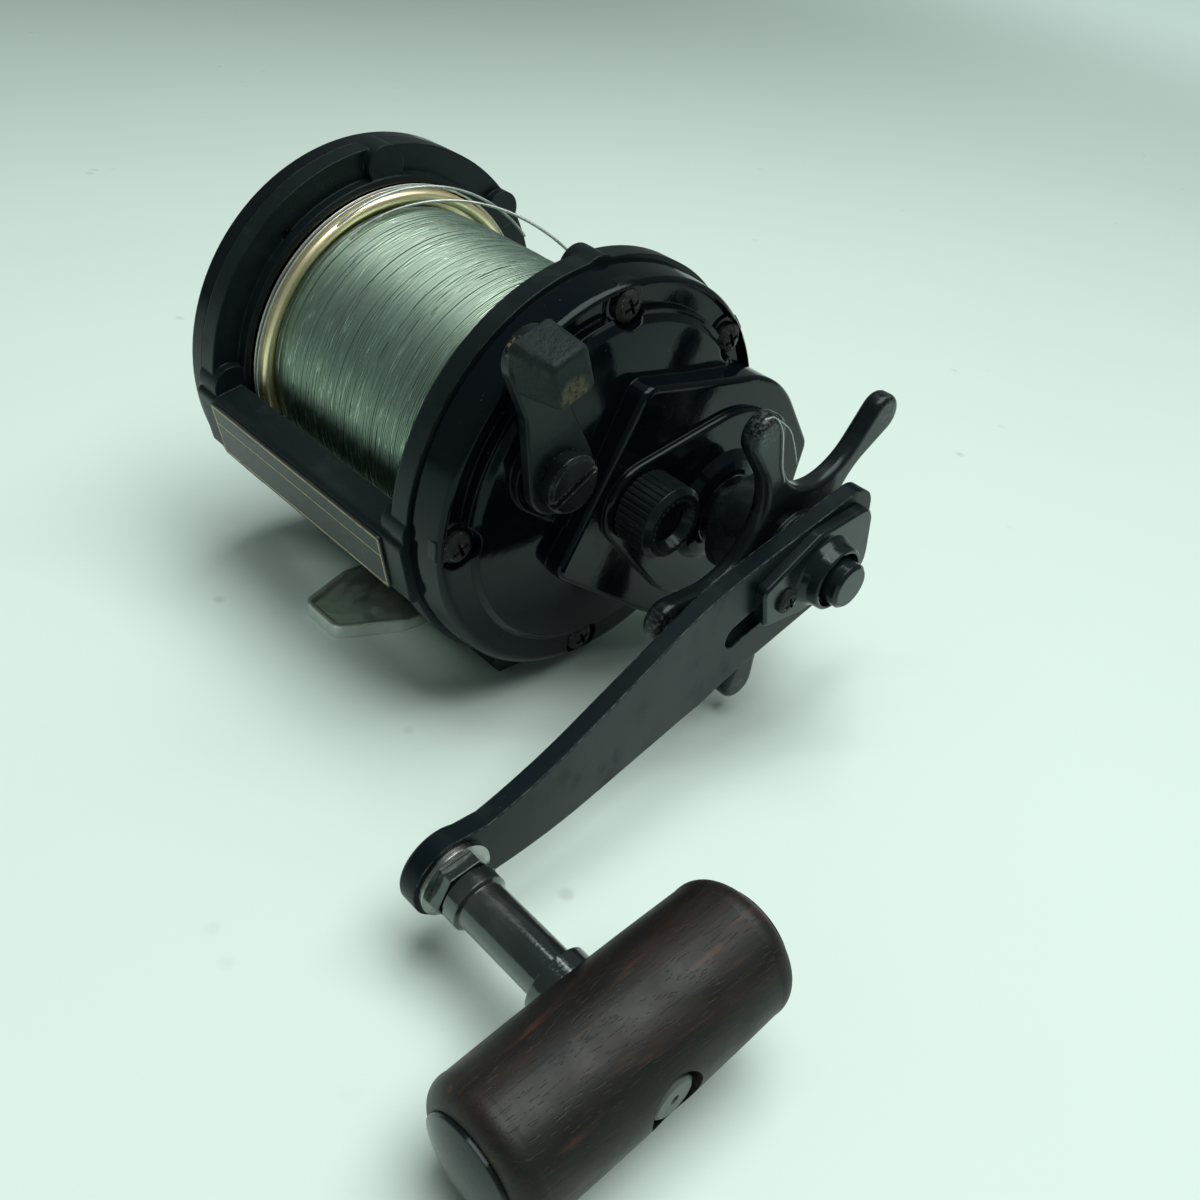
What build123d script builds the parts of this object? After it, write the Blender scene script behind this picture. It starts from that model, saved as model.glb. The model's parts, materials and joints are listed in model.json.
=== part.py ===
from build123d import *
import os
from math import acos, atan2, cos, degrees, hypot, pi, radians, sin

# Multiplying trolling reel. Everything is drawn about the spool axis: X runs along the spool axis towards
# the handle, Y forwards, Z up, and X = 0 is the joint between the frame and the handle-side cover.
# The finished pieces are then moved so that the origin is the middle of the foot's underside.

# ---------------------------------------------------------------- driving sizes (mm)
axis_height = 38.2        # spool axis above the foot's underside
ring_gap = 48.9           # clear width between the two frame rings
ring_width = 3.5          # thickness of each ring
ring_radius = 34.2        # outside of the rings
mouth_radius = 28.4       # hole in each ring
collar_wall = 1.2         # raised collar round each mouth
collar_height = 2.0       # how far the collar stands into the gap
bar_clear_radius = 29.9   # inside of the cross bars
bar_round = 1.2
ring_boss_radius = 3.4    # bosses of the cover screws on the rings' inner faces
ring_boss_height = 1.6
ring_boss_inset = 2.8     # ring's outside to the middle of a boss
fit = 0.3                 # gap between parts that move past each other
running = 0.05            # radial gap of a shaft in its hole
touch = 0.02              # gap between faces that rest on each other
join = 0.1                # how far a boss runs into what carries it

label_angle = 196.3       # direction of the rear bar, from +Y towards +Z
label_bar_width = 11.6
label_bar_radius = 35.0   # flat outside of the rear bar
label_height = 10.2
label_thick = 0.4
label_margin = 4.4        # bare bar at each end of the label
label_corner = 0.8
front_bar_angle = -28.0
front_bar_width = 9.0
base_width = 26.0         # bar above the foot
base_chamfer = 1.5

foot_length = 57.0
foot_width = 17.8
foot_end_width = 10.8
foot_waist = 34.0         # length of the full-width middle
foot_thick = 1.6
foot_rim = 2.4            # height of the rolled edge
foot_rim_wall = 1.0
foot_screw_x = 5.0
foot_screw_y = 8.0
foot_screw_radius = 1.4
foot_screw_head = 1.1     # height of the countersunk head
foot_screw_length = 3.4
foot_corner = 2.2

flange_radius = 27.8
flange_web = 1.2
flange_lip = 2.0
flange_lip_depth = 1.0
spool_end_gap = 2.0       # spool flange to ring plane
barrel_radius = 9.0
line_radius = 25.6        # top of the wound line
line_crown = 0.8
line_shoulder = 4.0       # the winding thins over this width at each end
line_shoulder_drop = 0.2
shaft_radius = 3.0
journal_radius = 1.73     # stepped-down ends of the spool shaft
bearing_radius = 5.0
bearing_width = 3.2

cover_radius = 33.5
cover_draft = 0.6
cover_depth = 6.5         # joint plane to the flat band inside the rim
cover_shoulder = 5.4      # where the rim starts to round over
cover_lip_radius = 32.3   # inside of the thin lip
cover_seat = 5.4          # faces under the screw heads
cover_channel = 5.0       # floor of the channel between lip and ridge
channel_radius = 28.3
ridge_radius = 27.8       # foot of the step round the domed face
ridge_width = 0.9
dome_start = 7.4
dome_top = 9.1            # height of the domed face at the spool axis
cover_wall = 1.6
cover_mouth = 29.0
screw_circle = 29.7
screw_angles = (43.4, 96.5, 184.8, 270.0)
screw_radius = 0.9
screw_head_radius = 2.5
screw_head_height = 1.5
screw_boss_radius = 3.7
screw_pocket_radius = 3.3
left_cover_depth = 3.5
left_dome = 5.4
left_dome_radius = 25.0
left_dome_round = 1.5
left_cover_edge = 0.8
left_bearing_wall = 2.6
left_bearing_space = 2.8  # spool flange to the left bearing
cap_radius = 8.0          # centre cap of the left cover
cap_height = 1.5
cap_slot = 1.3
cap_slot_depth = 0.7
button_radius = 3.4       # clicker button
button_height = 3.4
button_grooves = 18
button_groove_radius = 0.3
click_radius = 19.0       # spool axis to the clicker button
click_angle = 135.0
click_travel = 2.0
pawl_reach = 2.6          # click gear's tip to the centre of the pawl's tip
pawl_tip_radius = 0.5
pawl_root_radius = 2.4
click_stem_radius = 1.5
click_gear_tip = 12.0
click_gear_root = 10.2
click_gear_bore = 9.0
click_gear_width = 1.6
click_teeth = 24

module = 0.65             # gear tooth size
gear_teeth = 52
pinion_teeth = 10
gear_direction = -15.6    # direction of the drive shaft seen from the spool axis
gear_width = 3.4
gear_recess = 0.6         # floor of the main gear under the drag discs

housing_room = 0.75       # pressure plate to the housing's ceiling
housing_round = 0.9
housing_radius = 21.9
nose_reach = 21.5         # drive shaft to the two corners of the housing's nose
nose_angles = (-17.0, 11.0)
nose_radius = 3.2
top_corner = (-0.5, 16.0, 3.0)        # corners of the housing (y, z, radius)
rear_corner = (-11.4, -8.6, 2.5)
step_height = 1.2         # raised island round the knob and shaft
step_radius = 17.0        # island round the drive shaft
step_knob_radius = 7.3    # island round the knob
step_round = 0.7
boss_height = 2.0         # domed boss under the star
boss_radii = (10.2, 8.8, 7.4)         # foot, shoulder and top of that boss
plate_thick = 1.6         # gearbox plate between cover and frame
plate_radius = 30.0

knob_radius = 6.1         # cast control knob
knob_length = 6.7
knob_dish_radius = 4.2
knob_dish_depth = 1.6
knob_neck_radius = 4.6
knob_neck_length = 3.6
knurl_radius = 0.26
knurl_count = 36

pin_x = -1.9              # clutch pin, in the pinion's slots
pin_radius = 0.6
pin_half = 4.0
shoulder = -3.0           # where the spool shaft steps down on the handle side
left_journal_radius = 2.0
collar_radius = 4.4       # pinion collar
collar_start = -2.2
clutch_slot = 1.1         # depth of the pinion's slots for the clutch pin
pinion_travel = 1.0       # slide that frees the pinion from the clutch pin
collar_end = 1.8
groove_radius = 3.1       # neck that the yoke holds
groove_end = 3.2
pinion_lip = 0.3          # rim above the groove
right_bearing_width = 2.6
pinion_bearing_radius = 7.6
pinion_bearing_top = 0.6
yoke_radius = 7.3         # disc of the yoke round the pinion
post_radius = 1.2         # posts of the pinion yoke
post_wall = 1.4
spring_wire = 0.25
spring_turns = 5
post_reach = 11.0
post_spread = 75.0

pivot_y, pivot_z = -16.2, 7.9         # clutch lever pivot
lever_tip_y, lever_tip_z = -24.9, 27.4
lever_plane = 9.5         # inner side of the lever's blade
lever_eye_radius = 5.9
lever_waist_radius = 3.5
lever_waist_at = 0.62     # place of the waist along the lever
lever_tip_radius = 4.3
lever_thick = 1.8
lever_boss_radius = 6.8
lever_boss_foot = (-10.6, 2.6, 5.2)   # the boss runs on to here (y, z, radius)
lever_shaft_radius = 2.2
lever_screw_radius = 4.6
lever_screw_height = 2.6
lever_screw_shank = 1.3
lever_screw_slot = (1.2, 0.8)         # width and depth
pad_height = 7.0          # rubber block, measured outwards from the blade
pad_overhang = 0.5        # block's middle beyond the centre of the lever's tip
pad_width = 7.8
pad_length = 8.6
pad_narrowing = 1.4
pad_corner = 1.5
pad_edge = 0.9
cam_start = 1.0
cam_thick = 0.8
cam_reach = 9.5
cam_tip_radius = 1.6

drive_radius = 3.0
bush_radius = 4.2
sleeve_bush = 6.2         # bush in the cover round the drag sleeve
drag_sleeve_radius = 4.6
drag_radius = 13.5
drag_disc = 0.7
drag_count = 5
drag_step = 0.6           # metal discs are this much smaller than the fibre ones
pressure_thick = 0.8
ratchet_tip = 8.4
ratchet_root = 7.0
ratchet_teeth = 12
ratchet_start = 0.9
ratchet_end = 2.7
dog_direction = -118.0
dog_reach = 14.0
dog_pin_radius = 1.1
dog_root_radius = 2.6
dog_tip_radius = 0.45
shaft_flange_radius = 5.4
spacer_radius = 5.2
ratchet_washer_radius = 6.4
star_hub_radius = 8.6
star_hub_step = 1.6       # the hub is this much smaller above the arms
star_edge = 1.1
star_plane = 25.1         # inner side of the star's arms
star_thick = 3.4
star_reach = 29.5         # hub centre to the tip of an arm
star_tip_radius = 3.5
star_waist = 2.1          # half width of an arm's neck
star_valley = 11.0        # hub centre to the bottom of the valleys between arms
star_arms = 5
star_twist = 48.0         # direction of the first arm
star_washer_space = 1.9   # room for the two spring washers under the star
star_washer_radius = 6.6
star_washer_thick = 0.5
star_washer_cup = 0.35

arm_plane = 30.7          # inner side of the handle arm at the shaft
arm_thick = 2.8
arm_rise = 4.7            # the knob end stands this much further out
arm_hub_half = 9.3        # half width at the shaft end
arm_hub_corner = 4.6
arm_hub_back = -9.0       # centres of the hub corners, along the arm
arm_belly = (25.0, 2.1, 9.9)          # widest place: along, across, half width
arm_neck = (69.0, 0.5, 4.9)           # narrowest place before the knob end
arm_crank = (22.0, 60.0)              # the arm rises between these places
arm_bend_radius = 140.0   # of the two gentle bends there
arm_ring_radius = 5.9     # boss at the knob end
arm_ring_thick = 3.4
arm_ring_edge = 0.8
arm_slot = ((9.0, 2.0), (18.0, 2.9))
arm_slot_radius = 2.1
nut_hex_radius = 4.6
nut_hex_height = 4.0
nut_cap_radius = 3.8
nut_height = 7.5
nut_thread = 3.0          # shaft's reach into the nut
retainer_thick = 2.0
retainer_collar = 5.1     # height of the collar round the nut
retainer_edge = 0.4
retainer_flare = ((0.0, 6.3), (0.3, 6.0), (1.2, 5.5))   # collar's foot: height, radius
retainer_rim = 5.1
retainer_outline = ((-8.0, 3.0, 3.8), (-8.3, -3.4, 3.4), (1.0, -3.6, 4.3),
                    (12.6, -3.4, 1.2), (12.0, 2.4, 1.2), (3.0, 1.9, 4.4))
retainer_screw_at = (8.7, 0.4)
retainer_screw_head = 2.1
retainer_screw_top = 1.1  # height of that screw's head
knob_y, knob_z = -53.1, -25.2         # axis of the handle knob
grip_radius = 9.3
grip_length = 41.8        # wooden part, between the end caps
grip_taper = 0.02         # how much thinner the grip is where its ends begin to round
grip_round = 3.4          # length of the rounded ends
grip_end_radius = 6.9     # where the wood meets the caps
grip_cap_radius = 6.7
grip_cap_height = 1.7
grip_cap_edge = 0.5       # straight edge under the cap's dome
grip_gap = 20.4           # arm to grip
grip_tilt = 8.0           # the grip's front end stands higher
grip_counterbore = 3.9    # recess round the head of the knob's axle
counterbore_depth = 4.0
knob_head_radius = 3.0
knob_head_inset = 0.5     # grip's surface to the face of the axle's head
knob_head_thick = 1.4
knob_head_dimple = 0.6
rivet_thick = 1.2
rivet_radius = 4.0
sleeve_radius = 3.45
sleeve_rim = 0.6          # raised band at the sleeve's arm end
sleeve_rim_width = 2.2
sleeve_foot = 1.2         # raised band at the grip
sleeve_sink = 1.5         # that band runs into the grip
knob_shaft_radius = 2.2
knob_nut_radius = 4.6
knob_nut_thick = 2.0
knob_washer_radius = 5.3
knob_washer_thick = 0.9

# ---------------------------------------------------------------- places worked out from them
spool_left = -ring_width - ring_gap + spool_end_gap
spool_right = -ring_width - spool_end_gap
left_plane = -2 * ring_width - ring_gap          # joint of the frame and the left cover
seam_x = ring_width + ring_gap / 2               # joint plane from the middle of the foot
gear_distance = module * (gear_teeth + pinion_teeth) / 2
shaft_y = gear_distance * cos(radians(gear_direction))
shaft_z = gear_distance * sin(radians(gear_direction))
DRIVE = (shaft_y, shaft_z)
SPOOL = (0, 0)
PIVOT = (pivot_y, pivot_z)
KNOB = (knob_y, knob_z)
DOG = (shaft_y + dog_reach * cos(radians(dog_direction)), shaft_z + dog_reach * sin(radians(dog_direction)))
click_plane = spool_left - click_gear_width
gear_face = groove_end + pinion_lip + pinion_travel + fit / 2
drag_start = gear_face + gear_recess
pressure_start = drag_start + drag_count * (drag_disc + touch)
pressure_end = pressure_start + pressure_thick
ceiling = pressure_end + housing_room
housing_depth = ceiling + cover_wall             # joint plane to the top of the gearbox housing
tube_start = housing_depth - right_bearing_width - join   # bearing tube inside the housing
pinion_end = tube_start - pinion_travel - fit / 3
step_top = housing_depth + step_height
boss_top = step_top + boss_height
knob_neck_end = step_top + knob_neck_length
shaft_end = knob_neck_end - knob_neck_length / 2  # handle-side end of the spool shaft
yoke_start = collar_end + 0.15
yoke_thick = groove_end - collar_end - fit
post_socket = ceiling - 2.2                      # sockets of the posts inside the housing
star_start = boss_top + 3.4
hub_end = star_plane + star_thick + 0.9
arm_top = arm_plane + arm_thick
nut_start = arm_top + touch
end_top = arm_top + arm_rise                     # outer side of the arm at the knob
grip_x = end_top + grip_gap + grip_radius
knob_nut_start = end_top + knob_washer_thick + touch
arm_length = hypot(knob_y - shaft_y, knob_z - shaft_z)
arm_angle = degrees(atan2(knob_z - shaft_z, knob_y - shaft_y))


# ---------------------------------------------------------------- shape helpers
def polar(radius, angle, centre=SPOOL):
    """Point (y, z) at a distance and direction from a centre."""
    return (centre[0] + radius * cos(radians(angle)), centre[1] + radius * sin(radians(angle)))


def bar(radius, x0, x1, at=SPOOL):
    """Round bar along X."""
    return Pos((x0 + x1) / 2, at[0], at[1]) * Rot(0, 90, 0) * Cylinder(radius, x1 - x0)


def tube(outer, inner, x0, x1, at=SPOOL):
    return bar(outer, x0, x1, at) - bar(inner, x0 - 1, x1 + 1, at)


def spun(face, at=SPOOL):
    """Turn an (x, radius) face round an axis along X."""
    return Pos(0, at[0], at[1]) * revolve(Plane.XZ * face, Axis.X)


def turned(points, at=SPOOL):
    """Solid of revolution from (x, radius) points."""
    return spun(make_face(Polyline(*points, close=True)), at)


def slab(face, x0, x1):
    """Extrude a (y, z) face between two stations on X."""
    return extrude(Plane.YZ.offset(x0) * face, amount=x1 - x0)


def belt(*circles):
    """Face inside a belt run counter-clockwise round circles (u, v, r)."""
    count = len(circles)
    spans = []
    for i in range(count):
        ua, va, ra = circles[i]
        ub, vb, rb = circles[(i + 1) % count]
        out = atan2(vb - va, ub - ua) - acos((ra - rb) / hypot(ub - ua, vb - va))
        leave = (ua + ra * cos(out), va + ra * sin(out))
        arrive = (ub + rb * cos(out), vb + rb * sin(out))
        spans.append((leave, arrive, out))
    edges = []
    for i in range(count):
        leave, arrive, out = spans[i]
        following, _, next_out = spans[(i + 1) % count]
        u, v, r = circles[(i + 1) % count]
        middle = out + ((next_out - out) % (2 * pi)) / 2
        edges.append(Line(leave, arrive))
        edges.append(ThreePointArc(arrive, (u + r * cos(middle), v + r * sin(middle)), following))
    return make_face(edges)


def grown(circles, extra):
    """The same belt circles with larger or smaller radii."""
    return [(u, v, r + extra) for u, v, r in circles]


def toothed(teeth, centre, first_angle, tip, root, slack=0.2):
    """Gear face: straight-flanked teeth about the pitch circle, the first one centred on first_angle."""
    pitch = module * teeth / 2
    half_tip = (0.42 - slack / 2) * module
    half_pitch = (0.785 - slack / 2) * module
    half_root = (1.08 - slack / 2) * module
    points = []
    for i in range(teeth):
        middle = radians(first_angle) + 2 * pi * i / teeth
        flank = [(root, -half_root / root), (pitch, -half_pitch / pitch), (tip, -half_tip / tip),
                 (tip, half_tip / tip), (pitch, half_pitch / pitch), (root, half_root / root)]
        for radius, swing in flank:
            turn = middle + swing
            points.append((centre[0] + radius * cos(turn), centre[1] + radius * sin(turn)))
    return make_face(Polyline(*points, close=True))


def ratchet(teeth, centre, first_angle, tip, root):
    """Saw-toothed wheel face."""
    points = []
    for i in range(teeth):
        start = radians(first_angle) + 2 * pi * i / teeth
        for radius, angle in ((root, start), (tip, start + 0.06), (tip, start + 0.16)):
            points.append((centre[0] + radius * cos(angle), centre[1] + radius * sin(angle)))
    return make_face(Polyline(*points, close=True))


def radial_box(inner, outer, width, angle, x0, x1):
    """Block along X whose faces look away from the spool axis at an angle."""
    middle = (inner + outer) / 2
    y, z = polar(middle, angle)
    block = Box(x1 - x0, outer - inner, width)
    return Pos((x0 + x1) / 2, y, z) * Rot(angle, 0, 0) * block


def pan_screw(face, depth, at, head_radius=screw_head_radius, head_height=screw_head_height):
    """Cross-recessed pan-head screw that points towards -X, with its head seated on a face."""
    crown = face + head_height
    head = turned([(face, 0), (face, head_radius), (face + head_height * 0.45, head_radius),
                   (face + head_height * 0.85, head_radius * 0.72), (crown, head_radius * 0.35),
                   (crown, 0)], at)
    slot = head_radius * 1.1
    recess = head_radius * 0.24
    cross = Box(head_height, slot, recess) + Box(head_height, recess, slot)
    cross = Pos(crown, at[0], at[1]) * Rot(30, 0, 0) * cross
    return head + bar(screw_radius, face - depth, face + join, at) - cross


def ball_bearing(outer, inner, x0, x1, at=SPOOL, balls=8):
    """Two rings and the balls between them, as separate solids."""
    gap = outer - inner
    middle = (outer + inner) / 2
    ball = gap * 0.24
    groove = Pos((x0 + x1) / 2, at[0], at[1]) * Rot(0, 90, 0) * Torus(middle, ball + 0.03)
    rings = [tube(outer, outer - gap * 0.3, x0, x1, at) - groove,
             tube(inner + gap * 0.3, inner, x0, x1, at) - groove]
    for i in range(balls):
        y, z = polar(middle, 360 * i / balls, at)
        rings.append(Pos((x0 + x1) / 2, y, z) * Sphere(ball))
    return rings


# ---------------------------------------------------------------- frame and foot
def frame_shape():
    body = tube(ring_radius, mouth_radius, -ring_width, 0)
    body += tube(ring_radius, mouth_radius, left_plane, left_plane + ring_width)
    inner_left = left_plane + ring_width
    collar = mouth_radius + collar_wall
    body += tube(collar, mouth_radius, inner_left - join, inner_left + collar_height)
    body += tube(collar, mouth_radius, -ring_width - collar_height, -ring_width + join)
    ring_bosses = ((left_plane, inner_left + ring_boss_height), (-ring_width - ring_boss_height, 0))
    for angle in screw_angles:
        centre = polar(ring_radius - ring_boss_inset, angle)
        for x0, x1 in ring_bosses:
            boss = bar(ring_boss_radius, x0, x1, centre)
            body += boss - bar(mouth_radius + collar_wall / 2, x0 - 1, x1 + 1)
    rear = radial_box(bar_clear_radius - 2, label_bar_radius, label_bar_width, label_angle, left_plane, 0)
    outer_edges = rear.edges().filter_by(Axis.X).sort_by(lambda e: hypot(e.center().Y, e.center().Z))[-2:]
    rear = fillet(outer_edges, bar_round)
    body += rear - bar(bar_clear_radius, left_plane - 1, 1)
    front = radial_box(bar_clear_radius - 1, ring_radius, front_bar_width, front_bar_angle, left_plane, 0)
    body += front - bar(bar_clear_radius, left_plane - 1, 1)
    base_top = -bar_clear_radius * 0.86
    base_bottom = -axis_height + foot_thick
    base = Box(-left_plane, base_width, base_top - base_bottom)
    base = Pos(-seam_x, 0, (base_top + base_bottom) / 2) * base
    base = chamfer(base.edges().filter_by(Axis.X).group_by(Axis.Z)[0], base_chamfer)
    body += base - bar(bar_clear_radius, left_plane - 1, 1)
    body -= slab(plate_outline(0.15), -plate_thick, 1)
    body -= bar(mouth_radius, left_plane - 1, left_plane + ring_width + collar_height + 1)
    body -= bar(mouth_radius, -ring_width - collar_height - 1, 1)
    for angle in screw_angles:
        body -= bar(screw_radius + running, -ring_width, 1, polar(screw_circle, angle))
    for angle in left_screw_angles():
        centre = polar(screw_circle, angle)
        body -= bar(screw_radius + running, left_plane - 1, left_plane + ring_width, centre)
    for x, y in foot_screw_places():
        body -= Pos(x, y, base_bottom) * Cylinder(foot_screw_radius + running, 5)
    return body


def left_screw_angles():
    return [45 + 90 * i for i in range(4)]


def foot_screw_places():
    return [(-seam_x + i * foot_screw_x, k * foot_screw_y) for i in (-1, 1) for k in (-1, 1)]


def foot_outline(inset=0.0):
    """Plan of the foot as belt circles (x, y, r)."""
    half = foot_width / 2 - foot_corner
    end = foot_end_width / 2 - foot_corner
    waist = foot_waist / 2
    tip = foot_length / 2 - foot_corner
    r = foot_corner - inset
    return belt((half, -waist, r), (half, waist, r), (end, tip, r), (-end, tip, r),
                (-half, waist, r), (-half, -waist, r), (-end, -tip, r), (end, -tip, r))


def foot_shape():
    sheet = extrude(foot_outline(), amount=foot_thick)
    rim = extrude(foot_outline(), amount=foot_rim) - extrude(foot_outline(foot_rim_wall), amount=foot_rim)
    rim -= Box(foot_width * 2, base_width + 2 * fit, foot_rim * 4)
    foot = Pos(-seam_x, 0, -axis_height) * (sheet + rim)
    for x, y in foot_screw_places():
        hole = Cylinder(foot_screw_radius + running, foot_thick * 4)
        flare = foot_screw_head + join
        sink = Cone(foot_screw_radius + flare + running, foot_screw_radius + running, flare)
        sink = Pos(0, 0, flare / 2 + running) * sink
        foot -= Pos(x, y, -axis_height) * (hole + sink)
    return foot


def foot_screw_shapes():
    """Countersunk screws up into the base bar."""
    screws = []
    for x, y in foot_screw_places():
        head = Cone(foot_screw_radius + foot_screw_head, foot_screw_radius, foot_screw_head)
        head = Pos(0, 0, foot_screw_head / 2 + join) * head
        shank = Pos(0, 0, foot_screw_length / 2 + 0.5) * Cylinder(foot_screw_radius, foot_screw_length)
        slot = Box(foot_screw_radius * 3, 0.5, 0.8)
        screws.append(Pos(x, y, -axis_height) * (head + shank - slot))
    return screws


def label_shape():
    length = ring_gap + 2 * ring_width - 2 * label_margin
    y, z = polar(label_bar_radius + label_thick / 2, label_angle)
    plate = Box(length, label_thick, label_height)
    plate = fillet(plate.edges().filter_by(Axis.Y), label_corner)
    return Pos(-seam_x, y, z) * Rot(label_angle, 0, 0) * plate


# ---------------------------------------------------------------- left side
def left_cover_shape():
    rim = left_plane - left_cover_depth
    dome = left_plane - left_dome
    boss_end = spool_left - left_bearing_space + 0.4
    pocket = boss_end - bearing_width - cover_wall
    inner_face = left_plane - left_cover_edge
    bearing_boss = bearing_radius + left_bearing_wall
    body = turned([(left_plane, mouth_radius), (left_plane, ring_radius), (rim + 0.5, ring_radius),
                   (rim, ring_radius - left_cover_edge), (dome + 0.5, left_dome_radius),
                   (dome, left_dome_radius - left_dome_round), (dome, 0), (pocket, 0),
                   (pocket, bearing_radius + running), (boss_end, bearing_radius + running),
                   (boss_end, bearing_boss), (inner_face - 1.0, bearing_boss),
                   (inner_face - 1.0, left_dome_radius - 1.0), (inner_face, mouth_radius - cover_wall)])
    for angle in left_screw_angles():
        centre = polar(screw_circle, angle)
        body -= bar(screw_radius + running, rim - 2, left_plane + 1, centre)
        body -= bar(screw_head_radius + 0.2, dome - 1, rim - 0.2, centre)
    slot_a = polar(click_radius, click_angle)
    slot_b = polar(click_radius - click_travel, click_angle)
    gap = click_stem_radius + 0.15
    body -= slab(belt((*slot_a, gap), (*slot_b, gap)), dome - 1, left_plane + 1)
    cap_seat = bar(cap_radius + running, dome - 1, dome + 0.5)
    return body - cap_seat


def left_screw_shapes():
    rim = left_plane - left_cover_depth - 0.2
    screw = Rot(0, 0, 180) * pan_screw(0, left_cover_depth + ring_width - 0.4, SPOOL)
    return [Pos(rim, *polar(screw_circle, angle)) * screw for angle in left_screw_angles()]


def bearing_cap_shape():
    """Centre cap of the left cover, with a coin slot."""
    dome = left_plane - left_dome
    top = dome - cap_height
    cap = turned([(dome + 0.5, 0), (dome + 0.5, cap_radius), (top + 0.8, cap_radius),
                  (top, cap_radius - 0.9), (top, 0)])
    return cap - Pos(top, 0, 0) * Box(2 * cap_slot_depth, cap_radius * 1.3, cap_slot)


def click_button_shape():
    """Knurled push knob with a stem through the slot."""
    dome = left_plane - left_dome
    at = polar(click_radius, click_angle)
    button = bar(button_radius, dome - button_height, dome - fit, at)
    for i in range(button_grooves):
        groove = polar(button_radius + join, 360 * i / button_grooves, at)
        button -= bar(button_groove_radius, dome - button_height - 1, dome, groove)
    return button + bar(click_stem_radius, dome - 1, click_plane - 0.2, at)


def click_pawl_shape():
    """Pointed tongue on the stem, in the plane of the click gear."""
    tip = polar(click_gear_tip + pawl_reach, click_angle)
    tail = polar(click_radius, click_angle)
    outline = belt((*tip, pawl_tip_radius), (*tail, pawl_root_radius))
    return slab(outline, click_plane - 0.2, spool_left - fit)


def click_gear_shape():
    face = toothed_disc(click_teeth, click_gear_tip, click_gear_root, click_angle + 180 / click_teeth)
    return slab(face, click_plane, spool_left) - bar(click_gear_bore, click_plane - 1, spool_left + 1)


def toothed_disc(teeth, tip, root, first_angle):
    """Round-the-clock pointed teeth for a clicker."""
    points = []
    for i in range(teeth):
        points.append(polar(tip, first_angle + 360 * i / teeth))
        points.append(polar(root, first_angle + 360 * (i + 0.5) / teeth))
    return make_face(Polyline(*points, close=True))


def left_bearing_shapes():
    x1 = spool_left - left_bearing_space
    return ball_bearing(bearing_radius, left_journal_radius + running, x1 - bearing_width, x1)


# ---------------------------------------------------------------- spool group
def spool_shape():
    lip = flange_radius - flange_lip_depth
    web_left = spool_left + flange_web
    web_right = spool_right - flange_web
    bore = shaft_radius + running / 2
    return turned([(spool_left, bore), (spool_left, flange_radius), (spool_left + flange_lip, flange_radius),
                   (spool_left + flange_lip, lip), (web_left, lip - 0.5), (web_left, barrel_radius),
                   (web_right, barrel_radius), (web_right, lip - 0.5), (spool_right - flange_lip, lip),
                   (spool_right - flange_lip, flange_radius), (spool_right, flange_radius),
                   (spool_right, bore)])


def line_shape():
    """The wound line, slightly crowned between the flanges."""
    x0 = spool_left + flange_web + touch
    x1 = spool_right - flange_web - touch
    middle = (x0 + x1) / 2
    edge = line_radius - line_crown
    shoulder_radius = line_radius - line_shoulder_drop
    inside = barrel_radius + touch
    return turned([(x0, inside), (x0, edge), (x0 + line_shoulder, shoulder_radius), (middle, line_radius),
                   (x1 - line_shoulder, shoulder_radius), (x1, edge), (x1, inside)])


def spool_shaft_shape():
    left_end = spool_left - left_bearing_space - bearing_width - fit
    step = spool_left - left_bearing_space + 1.0
    shaft = turned([(left_end, 0), (left_end, left_journal_radius), (step, left_journal_radius),
                    (step, shaft_radius), (shoulder, shaft_radius), (shoulder, journal_radius),
                    (shaft_end - 0.5, journal_radius), (shaft_end, journal_radius - 0.6), (shaft_end, 0)])
    hole = Pos(pin_x, 0, 0) * Cylinder(pin_radius, 2 * pin_half)
    return shaft - hole


def clutch_pin_shape():
    return Pos(pin_x, 0, 0) * Cylinder(pin_radius - 0.01, 2 * pin_half)


# ---------------------------------------------------------------- gearbox
def housing_circles():
    """Belt circles of the housing outline, counter-clockwise from its underside."""
    low, high = (polar(nose_reach, angle, DRIVE) for angle in nose_angles)
    round_shaft = (*DRIVE, housing_radius)
    return [round_shaft, (*low, nose_radius), (*high, nose_radius), round_shaft, top_corner, rear_corner]


def step_circles():
    return [(*DRIVE, step_radius), (*SPOOL, step_knob_radius)]


def plate_outline(extra=0.0):
    """Disc in the frame's recess with a lobe behind the gearbox."""
    return Circle(plate_radius + extra) + belt(*grown(housing_circles(), extra - 0.6))


def cover_profile():
    """Half section (x, radius) of the cover: rim, flat band, step, domed face and the hollow behind."""
    rim = cover_radius - cover_draft
    band = rim - 2.0
    step_in = ridge_radius - ridge_width
    hollow = step_in - cover_wall
    sag = (dome_top - dome_start) / 4
    edges = [Line((0, cover_mouth), (0, cover_radius)), Line((0, cover_radius), (cover_shoulder, rim)),
             ThreePointArc((cover_shoulder, rim), (cover_depth - 0.25, rim - 0.75), (cover_depth, band)),
             Line((cover_depth, band), (cover_depth, ridge_radius)),
             Line((cover_depth, ridge_radius), (dome_start, step_in)),
             ThreePointArc((dome_start, step_in), (dome_top - sag, step_in / 2), (dome_top, 0)),
             Line((dome_top, 0), (dome_top - cover_wall, 0)),
             ThreePointArc((dome_top - cover_wall, 0), (dome_top - sag - cover_wall, hollow / 2),
                           (dome_start - cover_wall, hollow)),
             Line((dome_start - cover_wall, hollow), (cover_channel - cover_wall, cover_mouth)),
             Line((cover_channel - cover_wall, cover_mouth), (0, cover_mouth))]
    return make_face(edges)


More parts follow.
